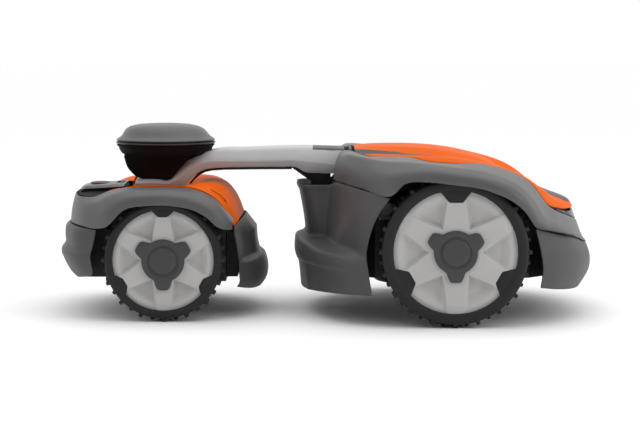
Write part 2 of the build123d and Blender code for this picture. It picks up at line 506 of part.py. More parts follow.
# ---------------------------------------------------------------- rear unit
RTX, RTY, RTZ = (-378, -172), (-128, 128), (62, 148)
with BuildPart() as rear_chassis_tub:
    blk(RTX, RTY, RTZ)
    blk((RTX[0] + 3, RTX[1] - 3), (RTY[0] + 3, RTY[1] - 3), (RTZ[0] + 3, RTZ[1] + 1), Mode.SUBTRACT)
    for k in (-1, 1):
        rod("Y", (RX, RR), 18, (k * 126 - 8, k * 126 + 8), Mode.SUBTRACT)
    blk((-172, -150), (-60, 60), (70, 76))
    blk((-172, -150), (-60, 60), (130, 136))
    blk((-392, -378), (-60, 60), (84, 90))
    blk((-392, -378), (-60, 60), (134, 140))
    blk((-172, -153), (-96, 96), (66, 144))
    blk((-173, -156), (-93, 93), (69, 145), Mode.SUBTRACT)
    blk((-175, -172), (-93, 93), (66, 144))
    blk((-412, -378), (-100, 100), (66, 144))
    blk((-409, -377), (-97, 97), (69, 145), Mode.SUBTRACT)
    blk((-378, -375), (-97, 97), (66, 144))

PILLAR = ((SX - 58, SX - 41), (SX + 41, SX + 58))
with BuildPart() as rear_chassis_lid:
    blk(RTX, RTY, (148, 151))
    for x in PILLAR:
        blk(x, (-13, 13), (150, 191))
        blk(x, (-26, 26), (150, 160))
    for k in (-1, 1):
        side([(-404, 150), (-166, 150), (-166, 164), (-178, 190), (-196, 202), (-404, 202)], sorted((k * 100, k * 106)))
        blk((-404, -378), sorted((k * 100, k * 106)), (144, 151))
        blk((-172, -166), sorted((k * 100, k * 106)), (144, 151))
    rod("X", (0, ROLL_Z), 5.05, (SX - 60, SX + 60), Mode.SUBTRACT)

with BuildPart() as battery_pack:
    blk((-362, -186), (-46, 46), (65, 140))

with BuildPart() as rear_wheel_motors:
    for k in (-1, 1):
        add(wheel_motor(RX, RR, 30, 18, 52, 125, 137, R_AXLE, k))

with BuildPart() as rear_top_cover:
    add(Solid.thicken(skin_face(across(REAR_HOOD)), -SHELL_T))
    rod("Z", (SX, 0), 51, (180, 230), Mode.SUBTRACT)
with BuildPart() as rear_fender_cover:
    add(strip(wrapped(REAR_FENDER), SHELL_T, -1, (1, 0, 0)))
with BuildPart() as rear_deck:
    add(Solid.thicken(skin_face(across(REAR_DECK)), -SHELL_T))
    rod("Z", (-398, 0), 23, (209, 216))
    rod("Z", (-398, 0), 19.8, (212.5, 240), Mode.SUBTRACT)
    rod("Z", (-398, 0), 4.3, (200, 213), Mode.SUBTRACT)
    blk((-369, -355.5), (-22.9, 22.9), (200, 240), Mode.SUBTRACT)
    for k in (-1, 1):
        blk((-367, -357.5), sorted((k * 22.9, k * 26)), (208, 220.2))
    rod("Y", (-362.2, 218.0), 2.05, (-27, 27), Mode.SUBTRACT)
with BuildPart() as control_panel:
    add(Solid.thicken(skin_face(across(HMI)), -2.4))
    rod("Z", (-398, 0), 19.5, (200, 240), Mode.SUBTRACT)
    blk((-369, -355.5), (-23, 23), (200, 240), Mode.SUBTRACT)
with BuildPart() as stop_button:
    rod("Z", (-398, 0), 19, (217.4, 223.4))
    rod("Z", (-398, 0), 4, (206, 218))
with BuildPart() as jog_wheel:
    rod("Y", (-362.2, 218.0), 6.0, (-22, 22))
    rod("Y", (-362.2, 218.0), 2.0, (-26, 26))
with BuildPart() as rear_bumper:
    add(strip(wrapped(REAR_BACK), SHELL_T, -1))
with BuildPart() as rear_front_skirt:
    add(strip(wrapped(REAR_FRONT), SHELL_T, 1))

# ---------------------------------------------------------------- cutting deck
with BuildPart() as cutter_carriage:
    rod("Z", (DX, 0), CAN_R, (58, 140))
    rod("Z", (DX, 0), CAN_R - 3, (61, 137), Mode.SUBTRACT)
    rod("Z", (DX, 0), 5.05, (57, 62), Mode.SUBTRACT)
    blk((DX - 12, DX + 12), (-60, -CAN_R + 2), (108, 122))
    blk((DX - 12, DX + 12), (CAN_R - 2, 60), (108, 122))
    blk((DX - 62, DX - CAN_R + 2), (-10, 10), (108, 122))
    for k in (-1, 1):
        rod("Z", (DX, k * 50), 4.06, (107, 123), Mode.SUBTRACT)
    rod("Z", (DX - 52, 0), 4.06, (107, 123), Mode.SUBTRACT)
    rod("Z", (DX, 0), CAN_R - 3, (61, 137), Mode.SUBTRACT)

with BuildPart() as cutter_motor:
    rod("Z", (DX, 0), CAN_R - 3, (72, 130))
    rod("Z", (DX, 0), 5.05, (70, 95), Mode.SUBTRACT)

with BuildPart() as height_spindle:
    rod("Z", (DX - 52, 0), 4, (TUB_Z + 4, LID[1] + 6))
    rod("Z", (DX - 52, 0), 12, (LID[1] + 0.3, LID[1] + 6))

with BuildPart() as cutting_disc:
    rod("Z", (DX, 0), DISC_R, (DISC_Z, DISC_Z + 2.5))
    rod("Z", (DX, 0), 16, (DISC_Z, 57.4))
    rod("Z", (DX, 0), 5, (DISC_Z, 94))
    rod("Z", (DX, 0), 5, (40.5, DISC_Z))
    for i in range(3):
        a = math.radians(120 * i)
        rod("Z", (DX + BLADE_PIVOT_R * math.cos(a), BLADE_PIVOT_R * math.sin(a)), 2.5, (DISC_Z - 2.2, DISC_Z + 2.5))
        rod("Z", (DX + BLADE_PIVOT_R * math.cos(a), BLADE_PIVOT_R * math.sin(a)), 4.5, (DISC_Z - 3.6, DISC_Z - 2.0))

blades = []
for i in range(3):
    a = math.radians(120 * i)
    cx, cy = DX + BLADE_PIVOT_R * math.cos(a), BLADE_PIVOT_R * math.sin(a)
    ux, uy = math.cos(a), math.sin(a)
    pts = [(cx + ux * p - uy * q, cy + uy * p + ux * q) for p, q in [(-7, -7.5), (-4, -9), (26, -9), (30, -6), (30, 6), (26, 9), (-4, 9), (-7, 7.5)]]
    with BuildPart() as blade:
        plan(pts, (DISC_Z - 1.2, DISC_Z - 0.5))
        rod("Z", (cx, cy), 2.7, (DISC_Z - 3, DISC_Z), Mode.SUBTRACT)
    blades.append(blade.part)

with BuildPart() as skid_plate:
    turned([(5.06, 41), (74, 41), (78, 43), (78, 45), (74, 44), (12, 44), (12, 47.5), (5.06, 47.5)], (DX, 0))

# ---------------------------------------------------------------- placing the wheels and writing the pieces
def placed(shape, x, y, z, side_sign, spin):
    """Wheel parts are drawn with the outer face towards -Y; the left-hand ones are turned about Z."""
    s = shape.rotate(Axis.Y, spin)
    if side_sign > 0:
        s = s.rotate(Axis.Z, 180)
    return s.moved(Location((x, y, z)))


for tag, x, r, yf, tyre, rim_, half in (("front", FX, FR, FY, f_tyre, f_rim, 1), ("rear", RX, RR, RY, r_tyre, r_rim, 1)):
    for hand, sgn in (("left", 1), ("right", -1)):
        y = sgn * yf
        save(placed(tyre, x, y, r, sgn, 0), f"{tag}_{hand}_tyre")
        save(placed(rim_, x, y, r, sgn, 0), f"{tag}_{hand}_rim")
        save(placed(hub_cap, x, y, r, sgn, 0), f"{tag}_{hand}_hub_cap")

for name, piece in {
    "front_chassis_tub": front_chassis_tub, "front_chassis_lid": front_chassis_lid,
    "cover_posts": cover_posts, "lid_screws": lid_screws, "front_wheel_motors": front_wheel_motors, "control_board": control_board,
    "cutter_guides": cutter_guides, "charging_contacts": charging_contacts, "arm_mast": arm_mast, "bridge_arm": bridge_arm,
    "arm_liner": arm_liner, "receiver_stand": receiver_stand, "receiver_tray": receiver_tray, "receiver_dome": receiver_dome,
    "steering_motor": steering_motor, "steering_pinion": steering_pinion,
    "front_fender_cover": front_fender_cover, "front_top_cover": front_top_cover, "nose_panel": nose_panel,
    "front_bumper": front_bumper, "front_rear_skirt": front_rear_skirt, "hood_collar": hood_collar,
    "headlight_lenses": headlight_lenses, "cover_frame": cover_frame_all, "steering_yoke": steering_yoke, "steering_gear": steering_gear,
    "roll_pin": roll_pin, "gimbal_cap": gimbal_cap, "rear_chassis_tub": rear_chassis_tub, "rear_chassis_lid": rear_chassis_lid,
    "battery_pack": battery_pack, "rear_wheel_motors": rear_wheel_motors,
    "rear_top_cover": rear_top_cover, "rear_fender_cover": rear_fender_cover, "rear_deck": rear_deck, "control_panel": control_panel,
    "stop_button": stop_button, "jog_wheel": jog_wheel, "rear_bumper": rear_bumper, "rear_front_skirt": rear_front_skirt,
    "cutter_carriage": cutter_carriage, "cutter_motor": cutter_motor, "height_spindle": height_spindle, "cutting_disc": cutting_disc,
    "skid_plate": skid_plate,
}.items():
    save(piece.part, name)
for i, blade_part in enumerate(blades):
    save(blade_part, f"blade_{i + 1}")
print(len(written), "pieces")
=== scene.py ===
import math

import bmesh
import bpy
import numpy as np
from mathutils import Matrix, Vector


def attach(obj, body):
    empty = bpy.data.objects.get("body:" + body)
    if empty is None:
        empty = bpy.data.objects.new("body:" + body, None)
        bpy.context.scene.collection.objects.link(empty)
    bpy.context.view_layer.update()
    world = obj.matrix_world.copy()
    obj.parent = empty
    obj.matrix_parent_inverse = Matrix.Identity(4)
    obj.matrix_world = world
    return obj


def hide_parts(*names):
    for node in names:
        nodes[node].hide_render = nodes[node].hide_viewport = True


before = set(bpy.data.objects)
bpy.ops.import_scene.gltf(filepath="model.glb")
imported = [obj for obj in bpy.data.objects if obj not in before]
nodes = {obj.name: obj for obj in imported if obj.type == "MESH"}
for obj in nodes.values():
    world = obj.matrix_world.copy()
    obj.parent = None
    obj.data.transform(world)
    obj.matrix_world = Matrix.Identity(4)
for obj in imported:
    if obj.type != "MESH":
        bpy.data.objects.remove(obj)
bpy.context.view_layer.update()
rng = np.random.default_rng(7)


# ------------------------------------------------------------------ materials
def srgb(*c):
    return tuple((v / 255 / 12.92 if v / 255 <= 0.04045 else ((v / 255 + 0.055) / 1.055) ** 2.4) for v in c) + (1.0,)


def tone(c, k):
    return (min(c[0] * k, 1), min(c[1] * k, 1), min(c[2] * k, 1), 1)


def moulded(name, colour, rough=0.4, grain=0.25, grain_scale=1400, vary=0.08, metallic=0.0, coat=0.0, wear=0.0, streak=None, spec=0.5):
    """Moulded plastic, rubber, lacquer or metal: fine surface grain, slow colour and gloss drift, lighter worn edges."""
    m = bpy.data.materials.new(name)
    m.use_nodes = True
    nt = m.node_tree
    N, L = nt.nodes, nt.links
    N.clear()
    out = N.new("ShaderNodeOutputMaterial")
    p = N.new("ShaderNodeBsdfPrincipled")
    L.new(p.outputs["BSDF"], out.inputs["Surface"])
    p.inputs["Metallic"].default_value = metallic
    p.inputs["Coat Weight"].default_value = coat
    p.inputs["Coat Roughness"].default_value = 0.12
    p.inputs["Specular IOR Level"].default_value = spec
    tc = N.new("ShaderNodeTexCoord")
    src = tc.outputs["Object"]
    if streak:
        mp = N.new("ShaderNodeMapping")
        mp.inputs["Scale"].default_value = streak
        L.new(src, mp.inputs["Vector"])
        fine_in = mp.outputs["Vector"]
    else:
        fine_in = src
    slow = N.new("ShaderNodeTexNoise")
    slow.inputs["Scale"].default_value = 26
    slow.inputs["Detail"].default_value = 4
    L.new(src, slow.inputs["Vector"])
    fine = N.new("ShaderNodeTexNoise")
    fine.inputs["Scale"].default_value = grain_scale
    fine.inputs["Detail"].default_value = 3
    L.new(fine_in, fine.inputs["Vector"])
    ramp = N.new("ShaderNodeValToRGB")
    ramp.color_ramp.elements[0].position = 0.3
    ramp.color_ramp.elements[0].color = tone(colour, 1 - vary)
    ramp.color_ramp.elements[1].position = 0.7
    ramp.color_ramp.elements[1].color = tone(colour, 1 + vary)
    L.new(slow.outputs["Fac"], ramp.inputs["Fac"])
    colour_out = ramp.outputs["Color"]
    if wear:
        geo = N.new("ShaderNodeNewGeometry")
        edge = N.new("ShaderNodeValToRGB")
        edge.color_ramp.elements[0].position = 0.53
        edge.color_ramp.elements[0].color = (0, 0, 0, 1)
        edge.color_ramp.elements[1].position = 0.62
        edge.color_ramp.elements[1].color = (wear, wear, wear, 1)
        L.new(geo.outputs["Pointiness"], edge.inputs["Fac"])
        mix = N.new("ShaderNodeMixRGB")
        mix.inputs["Color2"].default_value = tone(colour, 1.9)
        L.new(edge.outputs["Color"], mix.inputs["Fac"])
        L.new(colour_out, mix.inputs["Color1"])
        colour_out = mix.outputs["Color"]
    L.new(colour_out, p.inputs["Base Color"])
    rr = N.new("ShaderNodeMapRange")
    rr.inputs["To Min"].default_value = max(rough - 0.07, 0.03)
    rr.inputs["To Max"].default_value = min(rough + 0.07, 1)
    L.new(slow.outputs["Fac"], rr.inputs["Value"])
    L.new(rr.outputs["Result"], p.inputs["Roughness"])
    if grain:
        bump = N.new("ShaderNodeBump")
        bump.inputs["Strength"].default_value = grain
        bump.inputs["Distance"].default_value = 0.0003
        L.new(fine.outputs["Fac"], bump.inputs["Height"])
        L.new(bump.outputs["Normal"], p.inputs["Normal"])
    return m


MAT = {
    "orange": moulded("orange_cover", srgb(221, 93, 3), 0.5, 0.12, 1600, 0.02, spec=0.05),
    # darker copy of the orange cover plastic: painted shade for the insides of recesses and the rear hood well
    "orange_in": moulded("orange_painted_shade", srgb(196, 70, 2), 0.5, 0.12, 1600, 0.04, spec=0.12),
    "grey": moulded("grey_cover", srgb(85, 85, 86), 0.42, 0.2, 1500, 0.03, spec=0.35),
    "skirt": moulded("dark_skirt", srgb(70, 70, 71), 0.5, 0.3, 1200, 0.04, spec=0.35),
    "silver": moulded("arm_silver", srgb(178, 178, 179), 0.45, 0.12, 1800, 0.02, spec=0.35),
    "rim": moulded("rim_silver", srgb(180, 179, 178), 0.55, 0.12, 1600, 0.02, spec=0.3),
    "cap": moulded("hub_cap_grey", srgb(64, 64, 65), 0.45, 0.2, 1600, 0.03, spec=0.35),
    "tyre": moulded("tyre_rubber", srgb(34, 34, 34), 0.66, 0.4, 900, 0.08, spec=0.3),
    "black": moulded("black_plastic", srgb(22, 22, 22), 0.5, 0.4, 1100, 0.12, spec=0.35),
    "painted_shadow": moulded("shadow_black", srgb(14, 14, 14), 0.6, 0.3, 1100, 0.15),
    "gloss": moulded("gloss_black", srgb(13, 13, 14), 0.2, 0.03, 1500, 0.05, spec=0.07),
    "dome": moulded("dome_grey", srgb(86, 86, 87), 0.42, 0.18, 1700, 0.03, spec=0.4),
    "dome_rim": moulded("dome_rim_grey", srgb(52, 52, 53), 0.3, 0.05, 1700, 0.03, spec=0.2),
    "stand": moulded("stand_black", srgb(20, 20, 21), 0.55, 0.2, 1300, 0.06, spec=0.04),
    "steel": moulded("turned_steel", srgb(168, 168, 170), 0.3, 0.3, 700, 0.05, metallic=1.0, streak=(1, 1, 22)),
    "blade": moulded("ground_steel", srgb(196, 196, 196), 0.24, 0.35, 500, 0.04, metallic=1.0, streak=(18, 18, 1)),
    "can": moulded("motor_can", srgb(140, 142, 146), 0.42, 0.25, 900, 0.05, metallic=0.85),
    "board": moulded("circuit_board", srgb(16, 92, 48), 0.35, 0.6, 420, 0.3, coat=0.4),
    "brass": moulded("contact_plate", srgb(204, 168, 96), 0.28, 0.25, 600, 0.06, metallic=1.0),
    "red": moulded("stop_red", srgb(76, 12, 10), 0.3, 0.1, 1500, 0.04, spec=0.4),
    "sleeve": moulded("battery_sleeve", srgb(38, 56, 96), 0.34, 0.3, 600, 0.08, coat=0.3),
    "acetal": moulded("acetal", srgb(214, 212, 204), 0.45, 0.15, 1500, 0.03),
    "post": moulded("post_rubber", srgb(30, 30, 30), 0.7, 0.5, 900, 0.1),
}


def lens_material():
    m = moulded("lamp_lens", srgb(226, 230, 234), 0.1, 0.4, 520, 0.12, coat=0.8)
    m.node_tree.nodes["Principled BSDF"].inputs["Transmission Weight"].default_value = 0.25
    return m


MAT["lens"] = lens_material()

NODE_MAT = {
    "front_chassis_tub": "black", "front_chassis_lid": "black", "cover_posts": "post", "lid_screws": "steel", "front_wheel_motors": "can",
    "control_board": "board", "cutter_guides": "steel", "charging_contacts": "brass", "arm_mast": "black", "steering_motor": "can",
    "steering_pinion": "acetal", "cover_frame": "black", "steering_yoke": "steel", "steering_gear": "acetal", "roll_pin": "steel",
    "gimbal_cap": "black", "rear_chassis_tub": "black", "rear_chassis_lid": "black", "battery_pack": "sleeve", "rear_wheel_motors": "can",
    "cutter_carriage": "black", "cutter_motor": "can", "height_spindle": "steel", "cutting_disc": "skirt", "skid_plate": "steel",
    "blade_1": "blade", "blade_2": "blade", "blade_3": "blade", "headlight_lenses": "lens",
}
for node_name, key in NODE_MAT.items():
    ob = nodes[node_name]
    if not ob.material_slots:
        ob.data.materials.append(MAT[key])
    for sl in ob.material_slots:
        sl.material = MAT[key]


# ------------------------------------------------------------------ curve and surface tools, in millimetres
def smoothstep(x):
    x = np.clip(x, 0, 1)
    return x * x * (3 - 2 * x)


def hermite(P, t, u):
    """Smooth curve through P (n, 3) at parameters t, read at parameters u."""
    P, t, u = np.asarray(P, float), np.asarray(t, float), np.asarray(u, float)
    n = len(P)
    M = np.zeros_like(P)
    for i in range(n):
        lo, hi = max(i - 1, 0), min(i + 1, n - 1)
        if lo == i or hi == i:
            M[i] = (P[hi] - P[lo]) / (t[hi] - t[lo])
        else:
            d0, d1 = (P[i] - P[lo]) / (t[i] - t[lo]), (P[hi] - P[i]) / (t[hi] - t[i])
            w0, w1 = t[hi] - t[i], t[i] - t[lo]
            M[i] = (d0 * w0 + d1 * w1) / (w0 + w1)
    j = np.clip(np.searchsorted(t, u, side="right") - 1, 0, n - 2)
    h = (t[j + 1] - t[j])[:, None]
    s = ((u - t[j]) / (t[j + 1] - t[j]))[:, None]
    return (2 * s**3 - 3 * s**2 + 1) * P[j] + h * (s**3 - 2 * s**2 + s) * M[j] + (3 * s**2 - 2 * s**3) * P[j + 1] + h * (s**3 - s**2) * M[j + 1]


def chords(P):
    P = np.asarray(P, float)
    return np.concatenate([[0], np.cumsum(np.maximum(np.linalg.norm(np.diff(P, axis=0), axis=1), 1e-6))])


def smooth_line(P, n):
    t = chords(P)
    return hermite(P, t, np.linspace(0, t[-1], n))


def rounded(P, corners, n_run, bend=3, radius=3.0):
    """A cross-section: smooth runs between the corner points, with each corner rounded. corners maps index to radius."""
    P = np.asarray(P, float)
    cs = sorted(corners)
    cuts = [0] + cs + [len(P) - 1]
    runs = []
    for k in range(len(cuts) - 1):
        seg = P[cuts[k] : cuts[k + 1] + 1]
        t = chords(seg)
        r0 = corners.get(cuts[k], 0) if k > 0 else 0
        r1 = corners.get(cuts[k + 1], 0) if k < len(cuts) - 2 else 0
        r0, r1 = min(r0, t[-1] * 0.42), min(r1, t[-1] * 0.42)
        n = n_run[k] if isinstance(n_run, (list, tuple)) else n_run
        runs.append(hermite(seg, t, np.linspace(r0, t[-1] - r1, n)))
    out = [runs[0]]
    for k in range(1, len(runs)):
        a, b, c = runs[k - 1][-1], runs[k][0], P[cs[k - 1]]
        q = np.linspace(0, 1, bend + 2)[1:-1, None]
        out.append((1 - q) ** 2 * a + 2 * q * (1 - q) * c + q**2 * b)
        out.append(runs[k])
    return np.concatenate(out)


def skin(rows, nu, corners=None, n_run=5, bend=3, ucorners=None):
    """Grid (nu, nv, 3) from stations; corners are rounded creases along the length."""
    sec = np.array([rounded(r, corners or {}, n_run, bend) for r in rows])
    d = np.linalg.norm(np.diff(sec, axis=0), axis=2).mean(axis=1)
    t = np.concatenate([[0], np.cumsum(np.maximum(d, 1e-4))])
    u = np.linspace(0, t[-1], nu)
    return np.stack([hermite(sec[:, k], t, u) for k in range(sec.shape[1])], axis=1)


def grid_mesh(name, G, close_u=False, close_v=False):
    nu, nv = G.shape[:2]
    verts = (G.reshape(-1, 3) * 0.001).tolist()
    faces = []
    for i in range(nu if close_u else nu - 1):
        for j in range(nv if close_v else nv - 1):
            a, b = i * nv + j, ((i + 1) % nu) * nv + j
            c, d = ((i + 1) % nu) * nv + (j + 1) % nv, i * nv + (j + 1) % nv
            faces.append((a, b, c, d))
    me = bpy.data.meshes.new(name)
    me.from_pydata(verts, [], faces)
    me.update()
    return me


def obj_from(name, me, mats):
    ob = bpy.data.objects.new(name, me)
    bpy.context.scene.collection.objects.link(ob)
    for k in mats if isinstance(mats, (list, tuple)) else [mats]:
        ob.data.materials.append(MAT[k])
    return ob


def weld(ob, dist=0.00002):
    bm = bmesh.new()
    bm.from_mesh(ob.data)
    bmesh.ops.remove_doubles(bm, verts=bm.verts, dist=dist)
    bmesh.ops.dissolve_degenerate(bm, edges=bm.edges, dist=1e-7)
    bmesh.ops.recalc_face_normals(bm, faces=bm.faces)
    bm.to_mesh(ob.data)
    bm.free()


def bake(ob, angle=38):
    """Apply the object's modifiers and set smooth shading with sharp edges by angle."""
    dg = bpy.context.evaluated_depsgraph_get()
    dg.update()
    me = bpy.data.meshes.new_from_object(ob.evaluated_get(dg), preserve_all_data_layers=True, depsgraph=dg)
    ob.modifiers.clear()
    old = ob.data
    ob.data = me
    bpy.data.meshes.remove(old)
    me.shade_smooth()
    me.set_sharp_from_angle(angle=math.radians(angle))
    return ob


def outward(ob, G, out_hint):
    """Turn faces so that normals point along out_hint, a function of a point giving the outward direction."""
    me = ob.data
    s = 0.0
    for f in me.polygons:
        c = np.array(f.center) * 1000
        s += float(np.dot(np.array(f.normal), out_hint(c))) * f.area
    if s < 0:
        me.flip_normals()


def shell(name, G, mats, hint, t=2.6, edge=0.9, segs=2, angle=40, bake_it=True):
    ob = obj_from(name, grid_mesh(name, G), mats)
    outward(ob, G, hint)
    so = ob.modifiers.new("wall", "SOLIDIFY")
    so.thickness = t * 0.001
    so.offset = -1
    so.use_even_offset = True
    so.use_quality_normals = True
    so.thickness_clamp = 0
    if edge:
        bv = ob.modifiers.new("edge", "BEVEL")
        bv.width = edge * 0.001
        bv.segments = segs
        bv.limit_method = "ANGLE"
        bv.angle_limit = math.radians(50)
        bv.harden_normals = False
    if bake_it:
        bake(ob, angle)
    return ob


def wrapped(half):
    half = [[tuple(p) for p in r] for r in half]
    right = [[(p[0], -p[1], p[2]) for p in r] for r in half]
    left = [[(p[0], p[1], p[2]) for p in r] for r in reversed(half[:-1])]
    return right + left


def across(half):
    return [[(p[0], -p[1], p[2]) for p in reversed(r[1:])] + [(p[0], p[1], p[2]) for p in r] for r in half]


def from_middle(c, dz=-120):
    """Outward hint: away from the machine's long axis below the cover."""

    def f(p):
        v = np.array([p[0] - c[0], p[1] - c[1], p[2] - (c[2] + dz)])
        return v / max(np.linalg.norm(v), 1e-6)

    return f


def prism(name, pts, axis, a, mats, edge=0.8, segs=2, angle=38, bake_it=True):
    """Extruded outline with rounded edges. pts are (x, z) for axis Y, (x, y) for Z, (y, z) for X."""
    bm = bmesh.new()
    rings = []
    for d in a:
        ring = []
        for p in pts:
            co = {"Y": (p[0], d, p[1]), "Z": (p[0], p[1], d), "X": (d, p[0], p[1])}[axis]
            ring.append(bm.verts.new([c * 0.001 for c in co]))
        rings.append(ring)
    n = len(pts)
    for i in range(n):
        bm.faces.new((rings[0][i], rings[0][(i + 1) % n], rings[1][(i + 1) % n], rings[1][i]))
    bm.faces.new(rings[0])
    bm.faces.new(rings[1][::-1])
    bmesh.ops.recalc_face_normals(bm, faces=bm.faces)
    me = bpy.data.meshes.new(name)
    bm.to_mesh(me)
    bm.free()
    ob = obj_from(name, me, mats)
    if edge:
        bv = ob.modifiers.new("edge", "BEVEL")
        bv.width = edge * 0.001
        bv.segments = segs
        bv.limit_method = "ANGLE"
        bv.angle_limit = math.radians(28)
    if bake_it:
        bake(ob, angle)
    return ob


def lathe(name, prof, centre, mats, n=96, axis="Z", angle=38, tilt=None):
    """Revolved outline of (r, h) points about an axis through centre."""
    prof = np.asarray(prof, float)
    th = np.linspace(0, 2 * math.pi, n, endpoint=False)
    G = np.zeros((n, len(prof), 3))
    for i, a in enumerate(th):
        r, h = prof[:, 0], prof[:, 1]
        if axis == "Z":
            G[i] = np.stack([centre[0] + r * math.cos(a), centre[1] + r * math.sin(a), centre[2] + h], 1)
        elif axis == "Y":
            G[i] = np.stack([centre[0] + r * math.cos(a), centre[1] + h, centre[2] + r * math.sin(a)], 1)
        else:
            G[i] = np.stack([centre[0] + h, centre[1] + r * math.cos(a), centre[2] + r * math.sin(a)], 1)
    ob = obj_from(name, grid_mesh(name, G, close_u=True), mats)
    weld(ob)
    bake(ob, angle)
    return ob


def cut(ob, tool, solver="EXACT"):
    b = ob.modifiers.new("cut", "BOOLEAN")
    b.operation = "DIFFERENCE"
    b.object = tool
    b.solver = solver
    bake(ob)
    bpy.data.objects.remove(tool)
    return ob


def joined(name, obs):
    """Several meshes as one object."""
    mats, verts, faces, idx, smooth = [], [], [], [], []
    for o in obs:
        base = len(verts)
        verts += [tuple(v.co) for v in o.data.vertices]
        local = [sl.material for sl in o.material_slots]
        for m in local:
            if m not in mats:
                mats.append(m)
        for f in o.data.polygons:
            faces.append([base + v for v in f.vertices])
            idx.append(mats.index(local[f.material_index]))
    me = bpy.data.meshes.new(name)
    me.from_pydata(verts, [], faces)
    for m in mats:
        me.materials.append(m)
    me.polygons.foreach_set("material_index", idx)
    me.update()
    me.shade_smooth()
    me.set_sharp_from_angle(angle=math.radians(38))
    for o in obs:
        bpy.data.objects.remove(o)
    ob = bpy.data.objects.new(name, me)
    bpy.context.scene.collection.objects.link(ob)
    return ob


def give(ob, body, slot=None, *cad):
    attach(ob, body)
    if cad:
        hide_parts(*cad)
    return ob


# ------------------------------------------------------------------ stations of the covers: x, half-width, z
FENDER = [
    [(32, 52, 283), (22, 52, 276), (15.5, 52, 256), (14, 52, 234)],
    [(45, 88, 283), (25, 100, 280), (16, 100, 256), (14, 95, 233.8)],
    [(58, 112, 279), (36, 160, 283), (28, 158, 256), (33, 155, 232)],
    [(72, 127, 276.5), (62, 200, 280), (55, 215, 254), (58, 216, 229)],
    [(100, 138, 277), (97, 228, 275), (98, 262, 246), (104, 262, 219)],
    [(138.8, 150, 276.6), (135, 240, 274), (135, 270, 256), (130.3, 273.5, 241.8)],
    [(175, 167, 270), (175, 243, 271), (172, 271.5, 258), (168, 274, 243.3)],
    [(215, 170, 267.4), (215, 245, 266), (212, 273, 253), (205, 274.5, 239.3)],
    [(258, 168.5, 267), (255, 246, 259.5), (252, 273.5, 246), (251, 274.5, 233)],
    [(294.8, 168, 258.8), (290, 245, 249), (285, 272.5, 236), (280, 273.5, 223.5)],
    [(320.8, 166, 249.2), (315, 243, 237), (307, 269, 224), (300, 270.5, 214.5)],
    [(338.4, 163, 238.6), (333, 238, 222), (325, 264, 207), (316, 266, 203.5)],
    [(352, 160, 226), (347, 232, 204), (338, 257, 190), (328, 259.5, 191.5)],
    [(365.2, 155, 208.6), (358, 227, 188), (350, 250, 174), (337.3, 254, 178.5)],
    [(376, 150, 195), (368, 219, 176), (360, 243, 167), (346, 247, 166.5)],
    [(392, 138, 184.5), (388, 203, 166), (382, 220, 158.5), (372, 223, 158)],
    [(412, 112, 175), (410, 172, 156), (404, 189, 150), (398, 188, 150)],
    [(427, 80, 167.5), (429, 125, 147.5), (426, 140, 142), (424, 141, 140.5)],
    [(438, 42, 160), (443, 65, 140.5), (447, 72, 131.5), (451, 74, 126)],
    [(442.5, 0, 157), (447.5, 0, 138), (453, 0, 129), (460, 0, 119.5)],
]
# centre, shoulder, bulge edge, valley, stripe ridge, stripe edge
HOOD = [
    [(49, 0, 286), (49, 35, 286.6), (49, 60, 285.4), (51, 80, 279), (56, 100, 279.5), (62, 109, 277)],
    [(72, 0, 288.8), (72, 48, 288.4), (76, 74, 284.6), (80, 92, 278), (82, 116, 280.6), (84, 129, 276.6)],
    [(104, 0, 289.6), (104, 56, 289), (108, 84, 282.6), (110, 102, 277.4), (112, 128, 280.4), (112, 139, 277)],
    [(136, 0, 289.7), (136, 62, 288.8), (142, 93, 279), (142, 112, 276.2), (142, 136, 280), (140, 147, 276.6)],
    [(183.5, 0, 288), (183, 70, 286), (190, 102, 275.4), (185, 120, 274.4), (181, 141, 278.6), (178, 163, 270.4)],
    [(231, 0, 281.4), (231, 76, 279), (233, 106, 271.5), (228, 122, 270.8), (225, 143, 275.4), (222, 166.5, 267.6)],
    [(263, 0, 273.9), (263, 78, 270.6), (263, 105, 263.5), (260, 122, 263.5), (258, 143, 270.2), (258, 165, 267)],
    [(292, 0, 260.5), (292, 74, 257.6), (293, 102, 252.6), (294, 120, 253.5), (295, 143, 260.6), (295, 164.5, 259)],
    [(318, 0, 243), (318, 66, 242), (320, 98, 241), (321, 118, 243.5), (322, 141, 251.6), (321, 162.5, 249.4)],
    [(345, 0, 228), (345, 58, 227.5), (347, 88, 226.5), (346, 110, 230), (344, 137, 240.4), (340, 159, 238.4)],
    [(372, 0, 216), (372, 50, 215.5), (374, 76, 213), (371, 98, 214.5), (366, 130, 223.2), (354, 155.5, 225.6)],
    [(392, 0, 208.4), (392, 43, 207.6), (392, 68, 204), (389, 88, 203), (385, 112, 206.6), (369, 148, 205.6)],
    [(419, 0, 199), (416, 33, 198), (411, 54, 195.5), (407, 74, 194), (402, 92, 195.2), (384, 137, 192.2)],
    [(430, 0, 191.8), (427, 27, 191), (422, 46, 189.4), (418, 62, 188.4), (413, 80, 188.6), (402, 108, 186.8)],
    [(436, 0, 181.4), (433, 25, 181.4), (430, 42, 182), (426, 56, 183), (421, 72, 184), (413, 90, 185)],
]
NOSE = [
    [(390, 135, 188.2), (393, 135, 186)],
    [(404, 112, 182.4), (410.5, 110, 176.8)],
    [(415, 92, 179.8), (424.5, 82, 170)],
    [(428, 50, 177.6), (436, 43, 162.8)],
    [(435.5, 0, 176.6), (441, 0, 160)],
]
